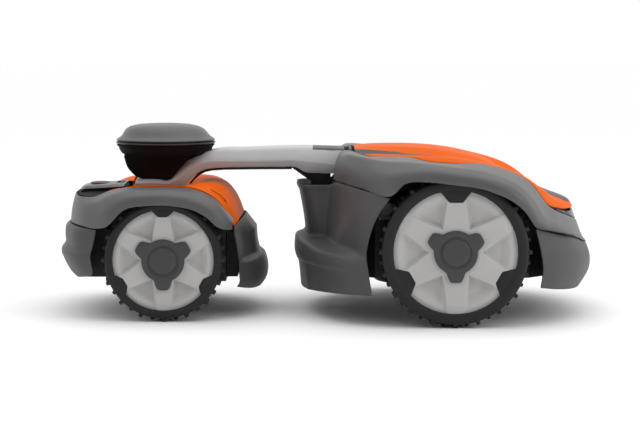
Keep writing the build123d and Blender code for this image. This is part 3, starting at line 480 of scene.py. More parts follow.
BUMPER = [
    [(347, 243, 163.5), (356, 243, 125), (360, 240, 99), (357, 236, 64)],
    [(372, 221, 155.8), (382, 222, 120), (386, 218, 92), (380, 212, 59)],
    [(398, 186, 147.8), (410, 188, 115), (414, 183, 88), (404, 176, 54)],
    [(424, 139, 138.3), (437, 138, 110), (440, 134, 84), (426, 128, 50)],
    [(450.5, 74, 123.5), (458.5, 72, 102), (458.5, 70, 80), (442, 66, 48)],
    [(459.5, 0, 117), (464.5, 0, 99), (463.5, 0, 79), (446, 0, 47.8)],
]
SKIRT = [
    [(104, 258, 216), (85, 258, 190), (70, 252, 152), (64, 246, 122), (66, 252, 109), (68, 253, 97), (70, 252, 84), (75, 250, 52.5)],
    [(80, 242, 222), (64, 236, 190), (52, 226, 155), (44, 212, 126), (38, 232, 112), (38, 236, 98), (41, 235, 84), (46, 231, 51)],
    [(58, 215, 226.5), (46, 205, 190), (34, 190, 158), (24, 168, 127), (14, 206, 115.5), (13, 210, 99), (17, 208, 86), (20, 206, 50)],
    [(33, 154, 229), (26, 146, 190), (18, 132, 160), (10, 118, 130), (-16, 156, 118.5), (-18.5, 160, 100), (-15, 157, 87), (-11, 155, 47)],
    [(13, 96, 229.5), (9, 92, 190), (6, 88, 165), (3, 84, 133), (-32, 116, 124), (-35, 119.5, 102), (-32, 117, 89), (-27, 115, 44.5)],
    [(6, 83, 224.5), (3, 78, 190), (1, 75, 165), (-1, 71, 133), (-38, 100, 126), (-41, 103, 102.5), (-38, 101, 89), (-33, 99, 43.5)],
    [(-22, 80, 224), (-17, 74, 190), (-14, 71, 165), (-12, 67, 133), (-43.5, 82, 127.8), (-46.5, 84, 103), (-43, 83, 90), (-36.5, 82, 43)],
    [(-40, 71, 223.8), (-33, 62, 190), (-30, 57, 165), (-27, 52, 134), (-50, 56, 130.4), (-52, 58, 103.5), (-48.5, 57, 90.5), (-42, 56, 42.6)],
    [(-48, 45, 225), (-41, 39, 190), (-37, 36, 165), (-34, 33, 137.5), (-53.2, 34, 132), (-54.6, 35, 104), (-51, 35, 91), (-45, 34, 43.5)],
    [(-49.3, 0, 225.6), (-43, 0, 190), (-39, 0, 165), (-36.5, 0, 140), (-54.8, 0, 133), (-55.4, 0, 104), (-51.6, 0, 91), (-46, 0, 44)],
]
REAR_HOOD = [
    [(-345, 0, 214), (-345, 40, 214.5), (-345, 82, 216.5), (-345, 120, 222.3), (-346, 146.5, 224.6)],
    [(-330, 0, 209), (-330, 40, 209.5), (-330, 82, 214), (-330, 121, 223.8), (-330, 149, 227.4)],
    [(-300, 0, 207), (-300, 40, 207), (-300, 82, 212), (-300, 122, 224.4), (-300, 152, 228.9)],
    [(-270, 0, 207), (-270, 40, 207), (-270, 82, 213), (-270, 122, 225), (-270, 152, 229)],
    [(-240, 0, 209), (-240, 40, 210.5), (-240, 84, 221.5), (-240, 122, 226), (-240, 152, 227.4)],
    [(-218, 0, 222), (-218, 40, 224), (-218, 86, 229), (-217, 124, 226.5), (-215, 151.5, 221.6)],
    [(-197, 0, 226.4), (-197, 40, 227), (-197, 86, 226.2), (-196, 126, 218.5), (-194, 150.5, 211.4)],
    [(-178, 0, 220.5), (-178, 40, 220.6), (-179, 84, 216.8), (-180, 124, 207.6), (-181, 148, 199.2)],
    [(-163.7, 0, 207), (-164, 40, 206.5), (-166, 80, 202.6), (-168, 116, 194.8), (-173, 142, 186)],
    [(-153.2, 0, 189.5), (-154, 40, 188.6), (-156, 76, 185.6), (-159, 108, 180.5), (-165, 134, 174.6)],
    [(-146, 0, 170), (-147, 38, 169.5), (-149, 72, 168), (-151.5, 102, 163.6), (-157.5, 128, 158.4)],
]
REAR_DECK = [
    [(-434, 0, 211), (-433, 30, 211), (-432, 52, 210), (-430, 72, 209), (-427, 92, 208.5)],
    [(-415, 0, 214), (-415, 35, 213.5), (-414, 62, 211.5), (-412, 90, 209), (-409, 118, 208)],
    [(-392, 0, 216.5), (-392, 40, 216), (-391, 70, 212), (-390, 100, 209.5), (-388, 130, 210)],
    [(-368, 0, 218), (-368, 40, 217.5), (-368, 75, 213), (-367, 110, 217.6), (-366, 139, 220.4)],
    [(-350, 0, 216), (-350, 40, 216.5), (-350, 78, 215), (-350, 112, 220.4), (-350, 143, 223.8)],
]
REAR_FENDER = [
    [(-158, 139, 171), (-158, 162, 169), (-158, 175, 164), (-158, 177, 155.5)],
    [(-175.4, 148, 190.5), (-171, 174, 186), (-169, 188, 173), (-170, 190, 157)],
    [(-189.3, 153, 206.5), (-186, 181, 201), (-184, 196, 185), (-184, 198, 163)],
    [(-207, 154.5, 216.5), (-205, 185, 211), (-202, 200, 197), (-200, 201.5, 178)],
    [(-227, 155, 223), (-226, 187, 219), (-224, 203, 206), (-222, 204.5, 190.5)],
    [(-255, 155.5, 226), (-255, 188, 223.5), (-255, 203.5, 212), (-255, 205, 197.5)],
    [(-299.4, 155.5, 226), (-300, 188, 224), (-300, 203.5, 213), (-300, 205, 198.3)],
    [(-341.4, 151, 225), (-341, 185, 221), (-341, 201.5, 207), (-340.4, 203.5, 190.2)],
    [(-368.7, 145, 219), (-368, 178, 212), (-369, 195, 190), (-368, 197, 163.5)],
    [(-392.5, 136, 209.3), (-392, 165, 200), (-392, 176, 180), (-391, 178, 157.5)],
    [(-412, 124, 207.5), (-414, 144, 196), (-415, 152, 180), (-414, 154, 159.5)],
    [(-428, 100, 208), (-432, 108, 196), (-434, 112, 181), (-436, 112, 161.5)],
    [(-436, 60, 209.5), (-440, 62, 196), (-443, 62, 181), (-445, 62, 163)],
    [(-438, 0, 209.5), (-442, 0, 196), (-445, 0, 181), (-447.6, 0, 164)],
]
BACK_Z = [(160.5, 0.5), (154, 8), (141, 10), (123, 10), (113.5, 17), (107.5, 17), (90, 10), (71, 0), (59, -11)]
BACK_PLAN = [(-392, 176, -0.3, 0.3, 0.5, -5), (-414, 154, -0.75, 0.6, 0.8, -3), (-436, 111, -0.90, 0.43, 0.95, -1), (-445, 61, -0.98, 0.2, 1.0, 0), (-447.5, 0, -1.0, 0.0, 1.0, 0)]
BACK_LOW = (75, 72, 66, 62, 59)


def back_row(k):
    x, w, nx, nw, f, dz = BACK_PLAN[k]
    row = []
    for z, e in BACK_Z:
        zz = z + dz if z > 107.5 else 107.5 - (107.5 - z) * (107.5 - BACK_LOW[k]) / 48.5
        row.append((x + nx * e * f, max(w + nw * e * f, 0), zz))
    return row


REAR_BACK = [[(-389.5, 174, 155.5), (-390.5, 174.5, 149), (-392.5, 175, 138), (-396, 175.5, 124), (-399, 176.5, 114.5), (-399.5, 176.5, 108.5), (-398, 173, 94), (-396.5, 168, 82), (-400, 163, 74.5)]] + [back_row(k) for k in range(1, 5)]
REAR_FRONT = [
    [(-156, 141, 158), (-155.6, 140, 146), (-151, 138, 122), (-148, 138, 100), (-147.5, 141, 93), (-147.5, 142, 80), (-148, 142, 58), (-152, 139, 53)],
    [(-150, 106, 162), (-147, 98, 141), (-144, 99, 120), (-141, 102, 101), (-134, 116, 93.5), (-131, 118, 82), (-131, 118, 57), (-137, 114, 48)],
    [(-146, 74, 166), (-134, 66, 141), (-133, 67, 118), (-130, 70, 102), (-121, 84, 96), (-117, 86, 84), (-117, 86, 56), (-125, 82, 44.5)],
    [(-143, 45, 167.8), (-125.5, 45, 144), (-123.5, 45, 119), (-120.5, 45, 105), (-112, 47, 98.4), (-107.5, 48, 86), (-108, 48, 56), (-117, 46, 43)],
    [(-142, 0, 168), (-123.5, 0, 145), (-121.6, 0, 120), (-118.7, 0, 106.5), (-109, 0, 99), (-104.7, 0, 87), (-105.4, 0, 56), (-115, 0, 43)],
]

# ------------------------------------------------------------------ front cover
ff = shell("front_fender", skin(wrapped(FENDER), 240, {1: 9}, [5, 8], 4), ["grey"], from_middle((230, 0, 250)), edge=1.1)
give(ff, "front_cover", "grey_plastic", "front_fender_cover")

HG = skin(across(HOOD), 150, {1: 10, 2: 3, 3: 4, 4: 6, 6: 6, 7: 4, 8: 3, 9: 10}, [3, 4, 3, 3, 5, 5, 3, 3, 4, 3], 3)
hood = shell("hood", HG, ["orange", "skirt", "orange_in"], from_middle((230, 0, 260), -300), edge=0.9)


def paint_hood(ob):
    for f in ob.data.polygons:
        x, y, z = [c * 1000 for c in f.center]
        y = abs(y)
        lo = np.interp(x, [45, 86, 147, 208], [61, 77, 94, 108])
        hi = np.interp(x, [45, 57, 124, 208], [100, 108, 127, 110])
        if x < 208 and lo < y < hi:
            f.material_index = 1
        w = np.interp(x, [380, 386, 418, 428, 431], [0, 66, 46, 30, 0])
        if y < w:
            f.material_index = 1


paint_hood(hood)
give(hood, "front_cover", "orange_plastic", "front_top_cover")

nose = shell("nose_band", skin(wrapped(NOSE), 90, {}, 4), ["gloss"], from_middle((300, 0, 200), -100), t=2.4, edge=0.5)
give(nose, "front_cover", "gloss_black", "nose_panel")

bump = shell("front_bumper_skin", skin(wrapped(BUMPER), 130, {}, 14), ["skirt"], from_middle((200, 0, 100), 0), edge=1.2)
give(bump, "front_cover", "dark_grey_plastic", "front_bumper")

SG = skin(wrapped(SKIRT), 300, {3: 7, 4: 6}, [22, 5, 40], 4)
# flared lip round the mouth of the column, a stepped lower wall and an L-shaped rib on each side panel
SN = np.cross(np.gradient(SG, axis=0), np.gradient(SG, axis=1))
SN /= np.maximum(np.linalg.norm(SN, axis=2, keepdims=True), 1e-9)
SN *= np.where(np.sum(SN * (SG - np.array([120, 0, 120])), axis=2, keepdims=True) < 0, -1, 1)
ax, ay, az = SG[..., 0], np.abs(SG[..., 1]), SG[..., 2]
bar_v = smoothstep((2.6 - np.abs(ax - (25 + (az - 190) * 0.10))) / 1.6) * smoothstep((az - 171) / 2) * smoothstep((213 - az) / 2)
bar_h = smoothstep((2.6 - np.abs(az - (173.5 - (ax - 24) * 0.08))) / 1.6) * smoothstep((ax - 21) / 2) * smoothstep((47 - ax) / 2)
rib = np.maximum(bar_v, bar_h) * (ay > 100) * 1.1
lip = 2.4 * smoothstep((az - 212) / 9) * smoothstep((14 - ax) / 14) * (ay < 88)
step = -1.6 * smoothstep((94 - az) / 2.6) * smoothstep((60 - ax) / 60)
SG = SG + SN * (rib + lip + step)[..., None]
sk = shell("rear_skirt", SG, ["skirt"], from_middle((120, 0, 120), 0), edge=1.2)
give(sk, "front_cover", "dark_grey_plastic", "front_rear_skirt")

# ------------------------------------------------------------------ rear unit
rh = shell("rear_hood", skin(across(REAR_HOOD), 110, {1: 7, 2: 3.5, 6: 3.5, 7: 7}, [4, 5, 10, 5, 4], 3), ["orange", "orange_in"], from_middle((-250, 0, 200), -200), edge=0.9, bake_it=False)
# the well cut into the rear hood takes the darker orange copy, painted shade on its walls
hole = lathe("well_tool", [(0, -40), (50, -40), (50, 60), (0, 60)], (-275, 0, 200), "orange_in", 96)
rh.modifiers.clear()
so = rh.modifiers.new("wall", "SOLIDIFY")
so.thickness, so.offset, so.use_even_offset = 0.0026, -1, True
bake(rh)
cut(rh, hole)
for k in (-1, 1):
    slot_pts = [(-198, k * 123), (-174, k * 116), (-170, k * 120), (-174, k * 125), (-191, k * 129), (-199, k * 127)]
    slot = prism("vent_tool", slot_pts if k > 0 else slot_pts[::-1], "Z", (190, 240), ["painted_shadow"], 0)
    cut(rh, slot)
give(rh, "rear_unit", "orange_plastic", "rear_top_cover")
rf = shell("rear_fender", skin(wrapped(REAR_FENDER), 200, {1: 9}, [5, 9], 4), ["grey"], from_middle((-280, 0, 180)), edge=1.0)
give(rf, "rear_unit", "grey_plastic", "rear_fender_cover")
rd = shell("rear_deck_skin", skin(across(REAR_DECK), 60, {}, 44), ["stand", "orange"], lambda p: (0, 0, 1), edge=0.6)
for f in rd.data.polygons:
    fx, fy = f.center.x * 1000, abs(f.center.y * 1000)
    if fx > np.interp(fy, [70, 84, 110, 143], [-345, -366, -376, -384]) and fy > 72:
        f.material_index = 1
give(rd, "rear_unit", "dark_grey_plastic", "rear_deck")
rb = shell("rear_bumper_skin", skin(wrapped(REAR_BACK), 120, {4: 2.5, 5: 2.5}, [12, 3, 12], 3), ["skirt"], from_middle((-300, 0, 110), 0), edge=1.2)
give(rb, "rear_unit", "dark_grey_plastic", "rear_bumper")
web = prism("hood_web", [(-168, 148), (-152, 148), (-151.5, 168), (-158, 180), (-168, 184)], "Y", (-46, 46), ["black"], 0.6)
give(web, "rear_unit", "dark_grey_plastic")
rs = shell("rear_front_skin", skin(wrapped(REAR_FRONT), 140, {1: 1.6, 3: 1.6, 4: 2}, [4, 7, 3, 9], 3), ["skirt"], from_middle((-220, 0, 110), 0), edge=1.2)
give(rs, "rear_unit", "dark_grey_plastic", "rear_front_skirt")


# ------------------------------------------------------------------ bridge arm
def lofted(name, rings, mats, edge=0.8, segs=2, angle=38):
    """Closed body through closed rings of equal point count, capped at both ends."""
    G = np.array(rings, float)
    me = grid_mesh(name, G, close_v=True)
    ob = obj_from(name, me, mats)
    bm = bmesh.new()
    bm.from_mesh(ob.data)
    bm.verts.ensure_lookup_table()
    nv = G.shape[1]
    bm.faces.new([bm.verts[j] for j in range(nv)])
    bm.faces.new([bm.verts[(G.shape[0] - 1) * nv + j] for j in reversed(range(nv))])
    bmesh.ops.recalc_face_normals(bm, faces=bm.faces)
    bm.to_mesh(ob.data)
    bm.free()
    if edge:
        bv = ob.modifiers.new("edge", "BEVEL")
        bv.width = edge * 0.001
        bv.segments = segs
        bv.limit_method = "ANGLE"
        bv.angle_limit = math.radians(28)
    bake(ob, angle)
    return ob


# stations along the arm: top and bottom of the beam at the middle, half-width, crease height share, top flat half-width
ARM_PATH = [
    # (bottom x, z), (top x, z), half-width low, half-width crease, half-width top, crease share
    [(-335.5, 217.5), (-335.5, 227.5), 24, 27, 22, 0.5],
    [(-325, 217), (-322, 229.5), 30, 34, 28, 0.5],
    [(-300, 217), (-290, 231), 35, 39, 31, 0.5],
    [(-276, 217), (-279.2, 229), 36, 40.5, 32, 0.5],
    [(-259, 217.5), (-268, 240), 35.5, 41, 32, 0.5],
    [(-246, 220), (-255, 254), 35.5, 41.5, 32.5, 0.5],
    [(-238, 229), (-243, 264.5), 36, 42, 33, 0.5],
    [(-228, 238.6), (-229, 271.8), 36.5, 43, 34.5, 0.48],
    [(-217, 245.6), (-215, 276.8), 37.5, 44.5, 36, 0.45],
    [(-200, 249.6), (-198, 280.2), 39, 46.5, 37.5, 0.42],
    [(-177, 251.2), (-177, 282.9), 40.5, 48, 39, 0.37],
    [(-150, 251.9), (-150, 283), 41.5, 49.5, 40, 0.36],
    [(-116, 252.4), (-116, 284.2), 42, 50.5, 41, 0.35],
    [(-80, 252.4), (-80, 285.4), 42.5, 51.5, 42, 0.35],
    [(-52, 251.6), (-52, 286), 43, 52, 42.5, 0.36],
    [(-37, 243.4), (-35, 286), 43, 52.5, 43, 0.44],
    [(-12, 241.4), (-12, 285.5), 43, 53, 44, 0.42],
    [(12, 240.6), (12, 284.8), 43, 53.5, 45, 0.38],
    [(30.5, 240.2), (31.5, 284.2), 42, 53.5, 46, 0.36],
]


def arm_rings():
    rings = []
    P = np.array([[*r[0], *r[1], *r[2:]] for r in ARM_PATH], float)
    t = chords(P[:, :4])
    Q = hermite(P, t, np.linspace(0, t[-1], 120))
    for bx, bz, tx, tz, wl, wc, wt, k in Q:
        lo, hi = np.array([bx, bz]), np.array([tx, tz])

        def at(s):
            return lo + (hi - lo) * s

        sec = [(0.0, 0), (0.0, wl * 0.55), (0.0, wl), (k * 0.5, (wl + wc) / 2), (k, wc), (k + (0.93 - k) * 0.5, (wc + wt) / 2 + 1.2), (0.93, wt + 0.6), (1.0, wt - 3.2), (1.012, wt * 0.6), (1.018, 0)]
        half = [(at(s)[0], y, at(s)[1]) for s, y in sec]
        ring = [(p[0], -p[1], p[2]) for p in half] + [(p[0], p[1], p[2]) for p in half[-2:0:-1]]
        rings.append(ring)
    return rings


arm = lofted("arm_beam", arm_rings(), ["silver", "skirt", "black"], edge=0.6, segs=2, angle=24)


def paint(ob, rule):
    """rule(centre in mm, normal) gives a slot number or None."""
    for f in ob.data.polygons:
        k = rule([c * 1000 for c in f.center], f.normal)
        if k is not None:
            f.material_index = k


def strip_top(c, n):
    x, y, z = c
    if x > -22 and n.z > 0.5 and abs(y) < 50:
        return 1
    if abs(x + 46) < 0.9 and n.z > 0.5 and abs(y) < 44:
        return 2
    return None


paint(arm, strip_top)
for r, z0, z1, x in ((25.6, 219, 228, -275), (11, 219, 228, -305), (6.06, 214, 234.5, -275), (2.6, 226, 236, -305), (2.02, 216.8, 221, -305)):
    cut(arm, lathe("arm_tool", [(0, z0), (r, z0), (r, z1), (0, z1)], (x, 0, 0), "black", 64))
give(arm, "front_unit", "silver_plastic", "bridge_arm")

LINER = [(-60, 247.2), (-60, 252.2), (-116, 252.4), (-177, 251.1), (-200, 249.5), (-216.6, 245.6), (-227.4, 238.4), (-236, 228.6), (-240.5, 222.5), (-238, 220.8), (-230.5, 230), (-221, 237.5), (-212, 242.3), (-200, 244.9), (-177, 246.3), (-116, 247)]
liner = prism("arm_underline", LINER, "Y", (-29.5, 29.5), ["black"], 1.2, 3)
give(liner, "front_unit", "black_plastic", "arm_liner")

# ------------------------------------------------------------------ receiver on the arm
CX = -283.4
th = np.linspace(0, 2 * math.pi, 144, endpoint=False)
DOME_PROF = [
    # radius, height, backward shift of the ring centre
    (0, 327.0, -2.0), (14, 326.8, -2.0), (30, 326.2, -2.4), (46, 325.0, -3.0), (60, 322.0, -2.6), (68.5, 317.6, -1.4), (73.5, 311.5, -0.5), (77, 306.4, 0), (80.5, 303.2, 0),
    (84.4, 300.8, 0), (86.4, 299.2, 0), (86.9, 298.0, 0), (86.3, 297.1, 0), (84.6, 296.6, 0), (84.2, 295.9, 0), (85.2, 295.3, 0), (87.2, 294.9, 0), (87.9, 294.0, 0), (87.9, 293.2, 0), (87.2, 292.2, 0), (84.6, 291.4, 0), (80, 291.0, 0), (60, 291.0, 0), (58, 294.0, 0), (0, 300, 0),
]


def ring(r, z, dx, lean=0.0):
    return [(CX + dx + r * math.cos(a), r * math.sin(a), z + lean * r * math.cos(a)) for a in th]


dome = obj_from("receiver_cap", grid_mesh("receiver_cap", np.array([ring(r, z, dx) for r, z, dx in DOME_PROF]), close_v=True), ["dome", "dome_rim", "painted_shadow"])
weld(dome)
bake(dome, 34)


def dome_paint(c, n):
    r = math.hypot(c[0] - CX, c[1])
    z = c[2]
    # slot 2 paints shadow black into the groove between the rim rings; slot 1 is the darker grey rim
    if z < 296.75 and z > 295.2 and r > 80:
        return 2
    if z < 299.6 and r > 84:
        return 1
    if z < 295.3 and r > 80:
        return 1
    return None


paint(dome, dome_paint)
give(dome, "front_unit", "dome_plastic", "receiver_dome")

TRAY_PROF = [(0, 272.4), (30, 272), (60, 271.4), (73, 271.9), (78.4, 276), (81.6, 281.2), (82.6, 285.4), (84.6, 287.4), (86.1, 288.8), (86.1, 289.8), (85.3, 290.5), (80, 290.5), (71, 290.5), (69.8, 289), (69.8, 276), (68, 275), (0, 275)]
tray = obj_from("receiver_base", grid_mesh("receiver_base", np.array([ring(r, z, 0) for r, z in TRAY_PROF]), close_v=True), ["stand", "black"])
weld(tray)
bake(tray, 34)
give(tray, "front_unit", "black_plastic", "receiver_tray")

# faceted cone under the receiver: rings from the foot plate up to the tray
STAND_RINGS = [
    # z, x rear, x front, half-width rear, half-width front
    (230.6, -331, -272, 18, 39), (236, -339, -267.5, 20, 40), (243, -345.5, -261.5, 23, 42), (250, -350.3, -255.3, 27, 44.5), (257, -352.8, -249, 31, 48), (264, -354.3, -242, 36, 53), (271.3, -355.6, -226, 42, 60),
]


def stand_ring(z, x0, x1, w0, w1):
    cut_x = x0 + (x1 - x0) * 0.30
    side_x = np.linspace(cut_x, x1, 8)
    right = [(x0, -w0 * 0.5, z), (x0 + 1.2, -w0 * 0.86, z), (cut_x - 8, -(w0 + (w1 - w0) * 0.4), z)] + [(x, -(w0 + (w1 - w0) * (0.55 + 0.45 * (x - cut_x) / (x1 - cut_x))), z) for x in side_x]
    return right + [(p[0], -p[1], p[2]) for p in reversed(right)]


SR = np.array([stand_ring(*s) for s in STAND_RINGS], float)
tt = np.linspace(0, 1, len(SR))
SR = np.stack([hermite(SR[:, k], tt, np.linspace(0, 1, 30)) for k in range(SR.shape[1])], axis=1)
stand = lofted("receiver_stand_shell", list(SR), ["stand"], edge=0.5, segs=2, angle=20)
give(stand, "front_unit", "gloss_black", "receiver_stand")
pocket = prism("motor_pocket", [(-327, -19), (-283, -19), (-283, 19), (-327, 19)], "Z", (228, 269.5), ["black"], 0)
cut(stand, pocket)

# ------------------------------------------------------------------ collar between arm and hood
bars = [
    prism("collar_a", [(-50, 262), (-52.5, 255), (-51.5, 243), (51.5, 243), (52.5, 255), (50, 262), (48.5, 281), (42, 284.8), (-42, 284.8), (-48.5, 281)], "X", (40.2, 44.6), ["skirt"], 0.7),
    prism("collar_c", [(-52, 228), (52, 228), (52, 237.5), (-52, 237.5)], "X", (22, 66), ["black"], 0.6),
    prism("collar_b", [(-50, 262), (50, 262), (56, 264.6), (-56, 264.6)], "X", (43, 94), ["black"], 0.4),
]
collar = joined("collar", bars)
give(collar, "front_cover", "dark_grey_plastic", "hood_collar")

# ------------------------------------------------------------------ control panel, stop button, jog wheel
PANEL = [
    [(-431, 0, 216.3), (-430.5, 20, 216.1), (-429, 40, 215.0), (-427, 56, 213.2)],
    [(-424, 0, 219.2), (-424, 21, 219.0), (-423, 41, 217.8), (-421, 59, 215)],
    [(-410, 0, 220.9), (-410, 21, 220.6), (-409, 43, 219.3), (-408, 63, 216)],
    [(-392, 0, 222), (-392, 22, 221.7), (-392, 44, 220.5), (-392, 66, 217)],
    [(-366, 0, 223.5), (-366, 22, 223.2), (-366, 45, 222), (-366, 68, 219)],
    [(-352, 0, 223.8), (-352, 22, 223.5), (-352, 46, 222.3), (-352, 69, 220)],
]
panel = shell("touch_panel", skin(across(PANEL), 40, {}, 30), ["gloss"], lambda p: (0, 0, 1), t=2.4, edge=0.7, segs=3)
cut(panel, lathe("button_hole", [(0, 200), (19.5, 200), (19.5, 240), (0, 240)], (-398, 0, 0), "gloss", 96))
cut(panel, prism("wheel_slot", [(-369, -23), (-355.5, -23), (-355.5, 23), (-369, 23)], "Z", (200, 240), ["gloss"], 0))
give(panel, "rear_unit", "gloss_black", "control_panel")

PANEL_SIDE = [(-428, 206), (-426, 212), (-416, 213.6), (-392, 214.6), (-366, 216.4), (-353, 217.2), (-353, 206)]
walls = [prism("panel_wall", PANEL_SIDE, "Y", sorted((k * 58, k * 64)), ["stand"], 0.6) for k in (-1, 1)]
end = prism("panel_end", [(-66, 208), (-66, 218.6), (-46, 221.4), (-25, 222.4), (-25, 208)], "X", (-352.6, -345), ["stand"], 0.8)
end2 = prism("panel_end", [(66, 208), (66, 218.6), (46, 221.4), (25, 222.4), (25, 208)], "X", (-352.6, -345), ["stand"], 0.8)
give(joined("panel_base", walls + [end, end2]), "rear_unit", "gloss_black")

stop = lathe("stop_push", [(0, 206), (4, 206), (4, 217.4), (14, 217.4), (18.2, 217.6), (19, 218.4), (19, 221.6), (18.3, 222.8), (16.6, 223.4), (14.8, 223.2), (13.6, 222.5), (8, 221.9), (0, 221.7)], (-398, 0, 0), "red", 96)
give(stop, "stop_button", "button_red", "stop_button")


def jog():
    prof = [(0, -26), (1.6, -26), (2, -25.6), (2, -22), (5.2, -22), (5.9, -21.2)]
    ys = np.linspace(-20.6, 20.6, 30)
    prof += [(5.9, y) for y in ys]
    prof += [(5.9, 21.2), (5.2, 22), (2, 22), (2, 25.6), (1.6, 26), (0, 26)]
    n = 72
    G = np.zeros((n, len(prof), 3))
    for i in range(n):
        a = 2 * math.pi * i / n
        for j, (r, y) in enumerate(prof):
            rr = r - (0.35 if (i % 3 == 0 and r > 5 and abs(y) < 21) else 0.0)
            G[i, j] = (-362.2 + rr * math.cos(a), y, 218.0 + rr * math.sin(a))
    ob = obj_from("jog_roller", grid_mesh("jog_roller", G, close_u=True), ["black"])
    weld(ob)
    bake(ob, 30)
    return ob


give(jog(), "jog_wheel", "black_plastic", "jog_wheel")


# ------------------------------------------------------------------ wheels, drawn about their own axle with the outer face towards -Y

def face_height(r, th, k):
    """Depth of the wheel face behind its outer plane; k scales the pattern."""
    rr = r / k
    best = np.full_like(rr, 1e9)
    e = np.full_like(rr, 1e9)
    for i in range(6):
        a = math.radians(90 + 60 * i)
        u, v = rr * np.cos(th - a), np.abs(rr * np.sin(th - a))
        half = 19.5 - 0.13 * (u - 45)
        gap = np.where(u > 0, v - half, 1e6)
        e = np.minimum(e, gap)
    wall = smoothstep(e / 7.0)
    deep = 11.2 * (1 - 0.78 * smoothstep((rr - 73) / 25.0))
    top = 0.9 + 3.5 * np.clip((rr - 89.5) / 13.1, 0, 1) - 0.55 * smoothstep((44 - rr) / 2.4)
    out = top + wall * deep * smoothstep((rr - 40) / 5)
    return np.minimum(out, 12.3)


def rim_mesh(width, rim, axle, tab):
    k = rim / 102.6
    n = 432
    th = np.linspace(0, 2 * math.pi, n, endpoint=False)
    rs = np.concatenate([[0.0, 12, 24, 33], np.linspace(36 * k, 88 * k, 48), np.linspace(89.2 * k, rim - 0.15, 14)])
    rs = np.unique(np.round(rs, 3))
    back = [(rim - 0.05, 5.4), (rim - 0.05, width - 1.8), (rim - 0.8, width - 1), (rim - 5.2, width - 1), (rim - 6, width - 1.8), (rim - 6, 14.2), (rim - 6.8, 13.5), (22.8, 13.5), (22, 14.3), (22, width - 2.8), (21.2, width - 2), (axle, width - 2), (axle, width + 39.2), (axle - 0.8, width + 40), (0, width + 40)]
    G = np.zeros((n, len(rs) + len(back), 3))
    for j, r in enumerate(rs):
        h = face_height(np.full(n, r), th, k)
        G[:, j] = np.stack([r * np.cos(th), h if r > 0 else np.full(n, 0.35), r * np.sin(th)], 1)
    for j, (r, y) in enumerate(back):
        G[:, len(rs) + j] = np.stack([r * np.cos(th), np.full(n, y), r * np.sin(th)], 1)
    ob = obj_from("rim_draft", grid_mesh("rim_draft", G, close_u=True), ["rim", "black"])
    weld(ob)
    bake(ob, 35)
    for a in (0, 120, 240):
        p = tab_outline(rim, tab, 0.45, a)
        cut(ob, prism("tab_tool", p, "Y", (-1, 12.3), ["rim"], 0))
    bake(ob, 35)
    paint(ob, lambda c, n: 1 if (c[1] > 13.0 and math.hypot(c[0], c[2]) < rim - 6.5) or c[1] > width - 1.5 else None)
    return ob


def turned_pts(pts, deg):
    c, q = math.cos(math.radians(deg)), math.sin(math.radians(deg))
    return [(x * c - z * q, x * q + z * c) for x, z in pts]


def tab_outline(rim, tab, gap, deg):
    w, w_in, d = tab
    g = gap
    r0 = rim - d - g
    pts = [(-w / 2 - g, rim + 2.2), (-w / 2 - g, rim - 3), (-w_in / 2 - g - 1.2, r0 + 2.0), (-w_in / 2 - g + 1.2, r0 + 0.2), (0, r0), (w_in / 2 + g - 1.2, r0 + 0.2), (w_in / 2 + g + 1.2, r0 + 2.0), (w / 2 + g, rim - 3), (w / 2 + g, rim + 2.2)]
    return turned_pts(pts, deg)


def tyre_mesh(r_out, r_tyre, width, rim, tab, rows, cleats):
    prof = [
        (rim, 2.4), (rim + 0.8, 1.5), (rim + 2.5, 1.0), (rim + 5, 0.35), (rim + 8, 0.1), (r_tyre - 7, 0.25), (r_tyre - 3.4, 1.2), (r_tyre - 1.4, 3.2), (r_tyre - 0.5, 5.8), (r_tyre, 9),
    ]
    prof = prof + [(r, width - y) for r, y in reversed(prof)]
    n = 300
    th = np.linspace(0, 2 * math.pi, n, endpoint=False)
    G = np.zeros((n, len(prof), 3))
    for j, (r, y) in enumerate(prof):
        G[:, j] = np.stack([r * np.cos(th), np.full(n, y), r * np.sin(th)], 1)
    body = obj_from("tyre_body", grid_mesh("tyre_body", G, close_u=True, close_v=True), ["tyre"])
    weld(body)
    bake(body, 40)
    verts, faces = [], []
    pitch = width / rows
    for k in range(rows):
        y0 = 2.6 + k * (width - 5.2) / rows + 0.6
        y1 = 2.6 + (k + 1) * (width - 5.2) / rows - 0.6
        for i in range(cleats):
            a = math.radians(360 * (i + 0.5 * (k % 2)) / cleats)
            c, q = math.cos(a), math.sin(a)
            base = len(verts)
            ladder = [(r_tyre - 4.0, 3.9, 0.0), (r_tyre + 0.3, 3.6, 0.2), (r_out - 0.9, 3.0, 0.8), (r_out, 2.3, 1.6)]
            for r, hw, cutback in ladder:
                ya, yb = y0 + cutback, y1 - cutback
                if k == 0 and r < r_out - 1.5:
                    ya = y0
                for s, y in ((-hw, ya), (hw, ya), (hw, yb), (-hw, yb)):
                    verts.append(((r * c - s * q) * 0.001, y * 0.001, (r * q + s * c) * 0.001))
            for lv in range(3):
                for j in range(4):
                    faces.append((base + lv * 4 + j, base + lv * 4 + (j + 1) % 4, base + (lv + 1) * 4 + (j + 1) % 4, base + (lv + 1) * 4 + j))
            faces.append((base + 12, base + 13, base + 14, base + 15))
            faces.append((base + 3, base + 2, base + 1, base))
    me = bpy.data.meshes.new("lugs")
    me.from_pydata(verts, [], faces)
    me.update()
    lugs = obj_from("lugs", me, ["tyre"])
    weld(lugs, 1e-7)
    tabs = [prism("tab", tab_outline(rim, tab, -0.1, a), "Y", (1.9, 11.6), ["tyre"], 0.9, 3) for a in (0, 120, 240)]
    return joined("tyre_draft", [body, lugs] + tabs)


